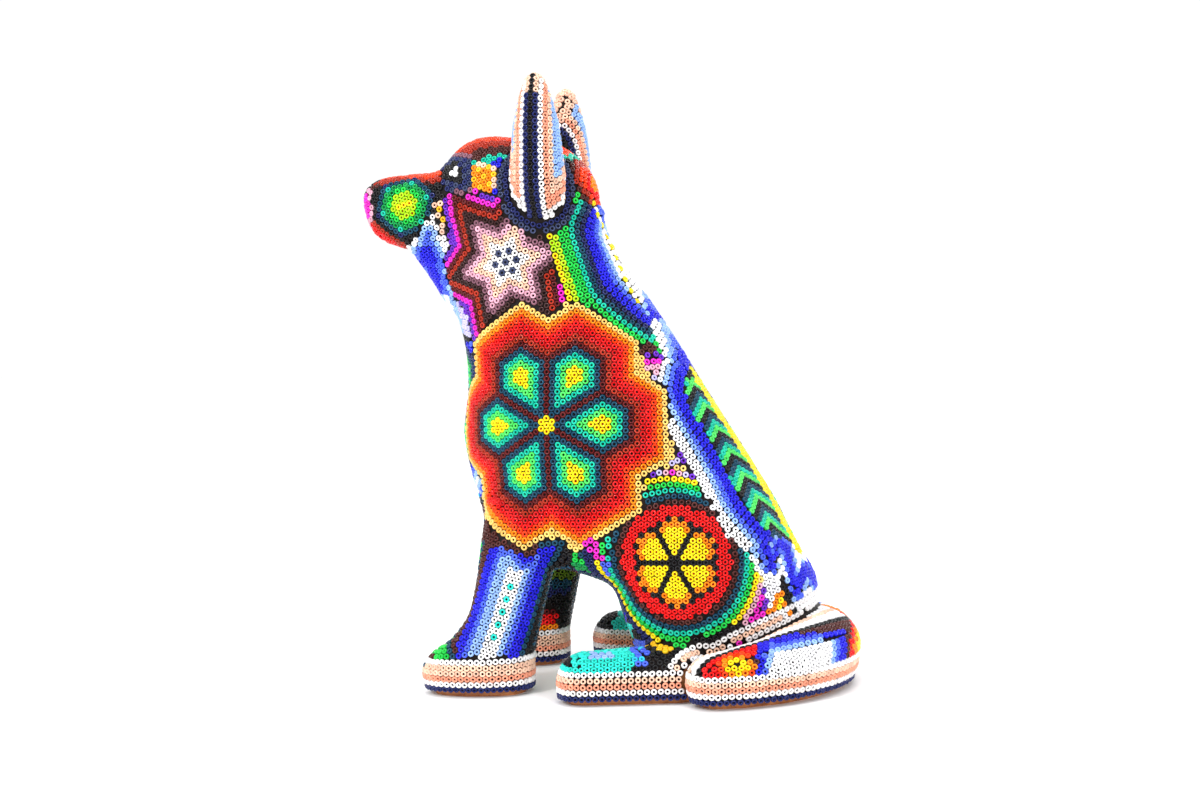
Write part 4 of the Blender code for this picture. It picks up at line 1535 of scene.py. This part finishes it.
def wood_material():
    """Pale reddish wood with long grain along the figure."""
    m, nt, p = new_material("carved_wood")
    t = nt.nodes.new("ShaderNodeTexCoord")
    scale = nt.nodes.new("ShaderNodeMapping")
    scale.inputs["Scale"].default_value = (260.0, 26.0, 260.0)
    nt.links.new(t.outputs["Object"], scale.inputs["Vector"])
    grain = nt.nodes.new("ShaderNodeTexNoise")
    grain.inputs["Scale"].default_value = 1.6
    grain.inputs["Detail"].default_value = 5.0
    grain.inputs["Distortion"].default_value = 0.6
    nt.links.new(scale.outputs[0], grain.inputs["Vector"])
    g = ramp(nt, grain.outputs[0], 0.32, 0.68, 0.0, 1.0)
    base = mixed(nt, g, linear((214, 140, 84)), linear((150, 84, 44)))
    pores = ramp(nt, noise(nt, 1500.0), 0.58, 0.7, 0.0, 0.6)
    nt.links.new(mixed(nt, pores, base, linear((104, 56, 30))), p.inputs["Base Color"])
    nt.links.new(ramp(nt, grain.outputs[0], 0.3, 0.7, 0.5, 0.72), p.inputs["Roughness"])
    bump = nt.nodes.new("ShaderNodeBump")
    bump.inputs["Strength"].default_value = 0.35
    bump.inputs["Distance"].default_value = 0.0003
    nt.links.new(grain.outputs[0], bump.inputs["Height"])
    nt.links.new(bump.outputs[0], p.inputs["Normal"])
    return m


WAX = wax_material("dark_beeswax", (12, 8, 8), (28, 17, 13))
# The amber wax is painted light: it stands for the glow of light coming through warm-coloured glass into the holes; the
# wax itself is as dark as the rest.
PAINTED_GLOW_WAX = wax_material("wax_painted_with_glass_glow", (120, 22, 4), (150, 44, 6))
WOOD = wood_material()

# ---------------------------------------------------------------- pieces


def make_object(name, points, groups, materials, index=None, smooth=True):
    """A mesh object from points in working millimetres and groups of faces with the same number of corners."""
    points = (np.asarray(points, float) + SHIFT) / 1000
    lo, hi = np.array(cad_box[0]) + 2e-5, np.array(cad_box[1]) - 2e-5
    points = np.clip(points, lo, hi)
    groups = [np.asarray(g, np.int32) for g in groups]
    mesh = bpy.data.meshes.new(name)
    mesh.vertices.add(len(points))
    mesh.vertices.foreach_set("co", points.astype(np.float32).ravel())
    size = sum(g.size for g in groups)
    count = sum(len(g) for g in groups)
    corners = np.concatenate([np.full(len(g), g.shape[1]) for g in groups])
    mesh.loops.add(size)
    mesh.loops.foreach_set("vertex_index", np.concatenate([g.ravel() for g in groups]))
    mesh.polygons.add(count)
    mesh.polygons.foreach_set("loop_start", np.r_[0, np.cumsum(corners)[:-1]].astype(np.int32))
    for m in materials:
        mesh.materials.append(m)
    if index is not None:
        mesh.polygons.foreach_set("material_index", np.asarray(index, np.int32))
    mesh.update(calc_edges=True)
    mesh.polygons.foreach_set("use_smooth", np.full(count, smooth))
    obj = bpy.data.objects.new(name, mesh)
    bpy.context.scene.collection.objects.link(obj)
    return obj


PROFILE = np.array([(0.40, -0.74), (0.43, -0.34), (0.58, -0.06), (0.82, -0.07), (1.00, -0.37), (1.02, -0.85), (0.72, -1.28)])
ROUND = 10


def ring_points(P, N, size, rng):
    """Points of a ring-shaped bead at each place, its hole along the normal, each a little tilted and uneven."""
    n = len(P)
    tilt = rng.normal(0, 0.07, (n, 3))
    W = unit(N + tilt)
    A = unit(np.cross(W, rng.normal(0, 1, (n, 3))))
    B = np.cross(W, A)
    wide = size * (1 + rng.normal(0, 0.018, n))
    tall = 1 + rng.normal(0, 0.05, n)
    oval = 1 + rng.normal(0, 0.02, n)
    t = np.arange(ROUND) * 2 * pi / ROUND
    r, z = PROFILE[:, 0], PROFILE[:, 1]
    R = wide[:, None, None] * r[None, None, :]
    X = R * np.cos(t)[None, :, None] * oval[:, None, None]
    Y = R * np.sin(t)[None, :, None] / oval[:, None, None]
    Z = np.broadcast_to(-0.68 + (z + 0.68) * tall[:, None, None] * 0.99, X.shape)
    return P[:, None, None, :] + X[..., None] * A[:, None, None, :] + Y[..., None] * B[:, None, None, :] + Z[..., None] * W[:, None, None, :]


def ring_faces(count):
    """Quads round each bead, and the two rounds that close it: the wax in its hole and its foot."""
    m = len(PROFILE)
    f = []
    for i in range(ROUND):
        j = (i + 1) % ROUND
        for k in range(m - 1):
            f.append((i * m + k, i * m + k + 1, j * m + k + 1, j * m + k))
    f = np.array(f)
    at = (np.arange(count) * ROUND * m)[:, None, None]
    hole = np.array([[i * m for i in range(ROUND)]])
    foot = np.array([[i * m + m - 1 for i in range(ROUND)][::-1]])
    return (f[None] + at).reshape(-1, 4), (hole[None] + at).reshape(-1, ROUND), (foot[None] + at).reshape(-1, ROUND)


BP, BN, BK, BC = all_beads()
BC = np.array(BC, dtype=object)
HOME = homes(BP, BK)
bead_nodes = sorted(n[6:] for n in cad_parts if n.startswith("beads_"))
rng = np.random.default_rng(20)
# Bead colours whose holes get the amber wax, a painted glow of light through the warm glass.
PAINTED_GLOW_HOLES = {"yellow", "gold", "orange", "lime"}


def nearest(P):
    """Distance from each bead to its nearest neighbour."""
    cells = {}
    for i, key in enumerate(map(tuple, (P // 2.6).astype(int))):
        cells.setdefault(key, []).append(i)
    best = np.full(len(P), 9.0)
    for (a, b, c), ids in cells.items():
        near = [m for i in (a - 1, a, a + 1) for j in (b - 1, b, b + 1) for k in (c - 1, c, c + 1) for m in cells.get((i, j, k), ())]
        d = np.linalg.norm(P[ids][:, None] - P[near][None], axis=2)
        d[d < 1e-6] = 9
        best[ids] = d.min(1)
    return best


SIZE = np.clip(nearest(BP) / 2.07, 0.88, 1.02)
for name in bead_nodes:
    ids = np.where(HOME == name)[0]
    colours = sorted(set(BC[ids].tolist()))
    pts = ring_points(BP[ids], BN[ids], SIZE[ids], rng)
    which = np.array([colours.index(c) for c in BC[ids]])
    # A warm bead's hole gets the amber wax, a painted glow of light through its glass; every other hole gets the dark
    # wax.
    hole = np.array([len(colours) + (c in PAINTED_GLOW_HOLES) for c in BC[ids]])
    obj = make_object(
        "glass_" + name,
        pts.reshape(-1, 3),
        ring_faces(len(ids)),
        [GLASS[c] for c in colours] + ([WAX, PAINTED_GLOW_WAX] if hole.max() > len(colours) else [WAX]),
        np.concatenate([np.repeat(which, ROUND * (len(PROFILE) - 1)), hole, which]),
    )
    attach(obj, "root")
    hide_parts("beads_" + name)


def finer(points, faces, mark):
    """Each triangle in four; a new point keeps its ends' mark if they agree."""
    key = {}
    P, M, out = list(points), list(mark), []

    def mid(i, j):
        k = (i, j) if i < j else (j, i)
        if k not in key:
            key[k] = len(P)
            P.append((P[i] + P[j]) / 2)
            M.append(M[i] if M[i] == M[j] else 0)
        return key[k]

    for a, b, c in faces:
        ab, bc, ca = mid(a, b), mid(b, c), mid(c, a)
        out += [(a, ab, ca), (ab, b, bc), (ca, bc, c), (ab, bc, ca)]
    return np.array(P), np.array(out), np.array(M)


def wax_coat(node, f, times):
    """The wax coat of a CAD node, with its outside brought up round the beads."""
    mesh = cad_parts[node].data
    P = np.empty(len(mesh.vertices) * 3)
    mesh.vertices.foreach_get("co", P)
    P = P.reshape(-1, 3) * 1000 - SHIFT
    mesh.calc_loop_triangles()
    T = np.empty(len(mesh.loop_triangles) * 3, np.int32)
    mesh.loop_triangles.foreach_get("vertices", T)
    T = T.reshape(-1, 3)
    _, first, back = np.unique(np.round(P, 3), axis=0, return_index=True, return_inverse=True)
    P, T = P[first], back.reshape(-1)[T]
    T = T[(T[:, 0] != T[:, 1]) & (T[:, 1] != T[:, 2]) & (T[:, 2] != T[:, 0])]
    M = np.where(f(P) > -2.0, 1, -1)
    for _ in range(times):
        P, T, M = finer(P, T, M)
    up = M == 1
    lifted, _n = project(lambda Q: f(Q) + 0.78, P[up], 5)
    far = lifted - P[up]
    L = np.linalg.norm(far, axis=1)
    P[up] = P[up] + far * np.minimum(1, 2.2 / np.maximum(L, 1e-9))[:, None]
    obj = make_object(node.replace("wax", "coat"), P, [T], [WAX])
    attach(obj, "root")
    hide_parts(node)


def fillet(name, line, g):
    """A round bead of wax in the groove along a line where two surfaces meet."""
    C = resample(np.array(line, float), 0.9)
    nb, ng = unit(slope(body, C)[0]), unit(slope(g, C)[0])
    C = C - 0.9 * (nb + ng)
    shut = np.linalg.norm(C[0] - C[-1]) < 2.5
    if shut:
        C = C[:-1]
        T = unit(np.roll(C, -1, axis=0) - np.roll(C, 1, axis=0))
    else:
        T = unit(np.gradient(C, axis=0))
    A = unit(nb[: len(C)] - (nb[: len(C)] * T).sum(1)[:, None] * T)
    B = np.cross(T, A)
    m, n = 10, len(C)
    t = np.arange(m) * 2 * pi / m
    P = C[:, None] + 1.6 * (np.cos(t)[None, :, None] * A[:, None] + np.sin(t)[None, :, None] * B[:, None])
    quads = [(i * m + j, i * m + (j + 1) % m, (i + 1) % n * m + (j + 1) % m, (i + 1) % n * m + j) for i in range(n if shut else n - 1) for j in range(m)]
    groups = [np.array(quads)[:, ::-1]]
    if not shut:
        groups.append(np.array([list(range(m)), [(n - 1) * m + j for j in range(m)][::-1]]))
    P = P.reshape(-1, 3)
    P[:, 2] = np.maximum(P[:, 2], 0.6)
    obj = make_object(name, P, groups, [WAX])
    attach(obj, "root")


around_ear = trace("body", ear, 0.0, (24.4, -12.7, 152), 1, 400)
fillet("fillet_ear_left", around_ear, ear)
fillet("fillet_ear_right", around_ear * np.array([-1.0, 1.0, 1.0]), ear_r)
fillet("fillet_tail", trace("body", tail, 0.0, (30, 50, 19), 1, 500, stop=lambda p: p[:, 2] < 3.0), tail)
wax_coat("wax_body", body, 2)
wax_coat("wax_tail", tail, 2)
wax_coat("wax_ear_left", ear, 2)
wax_coat("wax_ear_right", ear_r, 2)
for name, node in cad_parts.items():
    if name.startswith("core_"):
        for s in node.material_slots:
            s.material = WOOD

# ---------------------------------------------------------------- stage

floor = bpy.data.meshes.new("floor")
floor.from_pydata([(-6, -6, 0), (6, -6, 0), (6, 6, 0), (-6, 6, 0)], [], [(0, 1, 2, 3)])
floor = bpy.data.objects.new("floor", floor)
bpy.context.scene.collection.objects.link(floor)
m, nt, p = new_material("pale_floor")
nt.links.new(mixed(nt, ramp(nt, noise(nt, 3.0), 0.3, 0.7, 0.0, 1.0), (0.975, 0.975, 0.98), (0.99, 0.99, 0.99)), p.inputs["Base Color"])
p.inputs["Roughness"].default_value = 0.85
floor.data.materials.append(m)


def lamp(name, at, aim, size, watts, colour=(1, 1, 1)):
    light = bpy.data.lights.new(name, "AREA")
    light.shape = "RECTANGLE"
    light.size, light.size_y = size
    light.energy = watts
    light.color = colour
    obj = bpy.data.objects.new(name, light)
    bpy.context.scene.collection.objects.link(obj)
    obj.location = at
    d = np.array(aim, float) - np.array(at, float)
    from mathutils import Vector

    obj.rotation_mode = "QUATERNION"
    obj.rotation_quaternion = Vector(d).to_track_quat("-Z", "Y")


lamp("key", (0.85, -0.62, 0.85), (0, 0, 0.09), (0.17, 0.17), 7.0)
lamp("side", (1.05, 0.75, 0.5), (0, 0, 0.09), (0.16, 0.22), 4.5)
lamp("top", (0.1, 0.0, 1.2), (0, 0, 0.05), (0.9, 0.9), 3.5)
lamp("back", (-0.9, 0.2, 0.7), (0, 0, 0.1), (0.4, 0.4), 2.5)
world = bpy.data.worlds.new("studio")
world.use_nodes = True
world.node_tree.nodes["Background"].inputs[0].default_value = (1, 1, 1, 1)
world.node_tree.nodes["Background"].inputs[1].default_value = 1.04
bpy.context.scene.world = world
bpy.context.scene.view_settings.view_transform = "Standard"

cam = bpy.data.cameras.new("camera")
cam.sensor_width = 36.0
cam.lens = 50.0
cam.clip_start, cam.clip_end = 0.01, 20
cam = bpy.data.objects.new("camera", cam)
bpy.context.scene.collection.objects.link(cam)
r, u, v = camera_axes()
from mathutils import Matrix

place = (TARGET + DIST * v + SHIFT) / 1000
cam.matrix_world = Matrix([[r[0], u[0], v[0], place[0]], [r[1], u[1], v[1], place[1]], [r[2], u[2], v[2], place[2]], [0, 0, 0, 1]])
bpy.context.scene.camera = cam
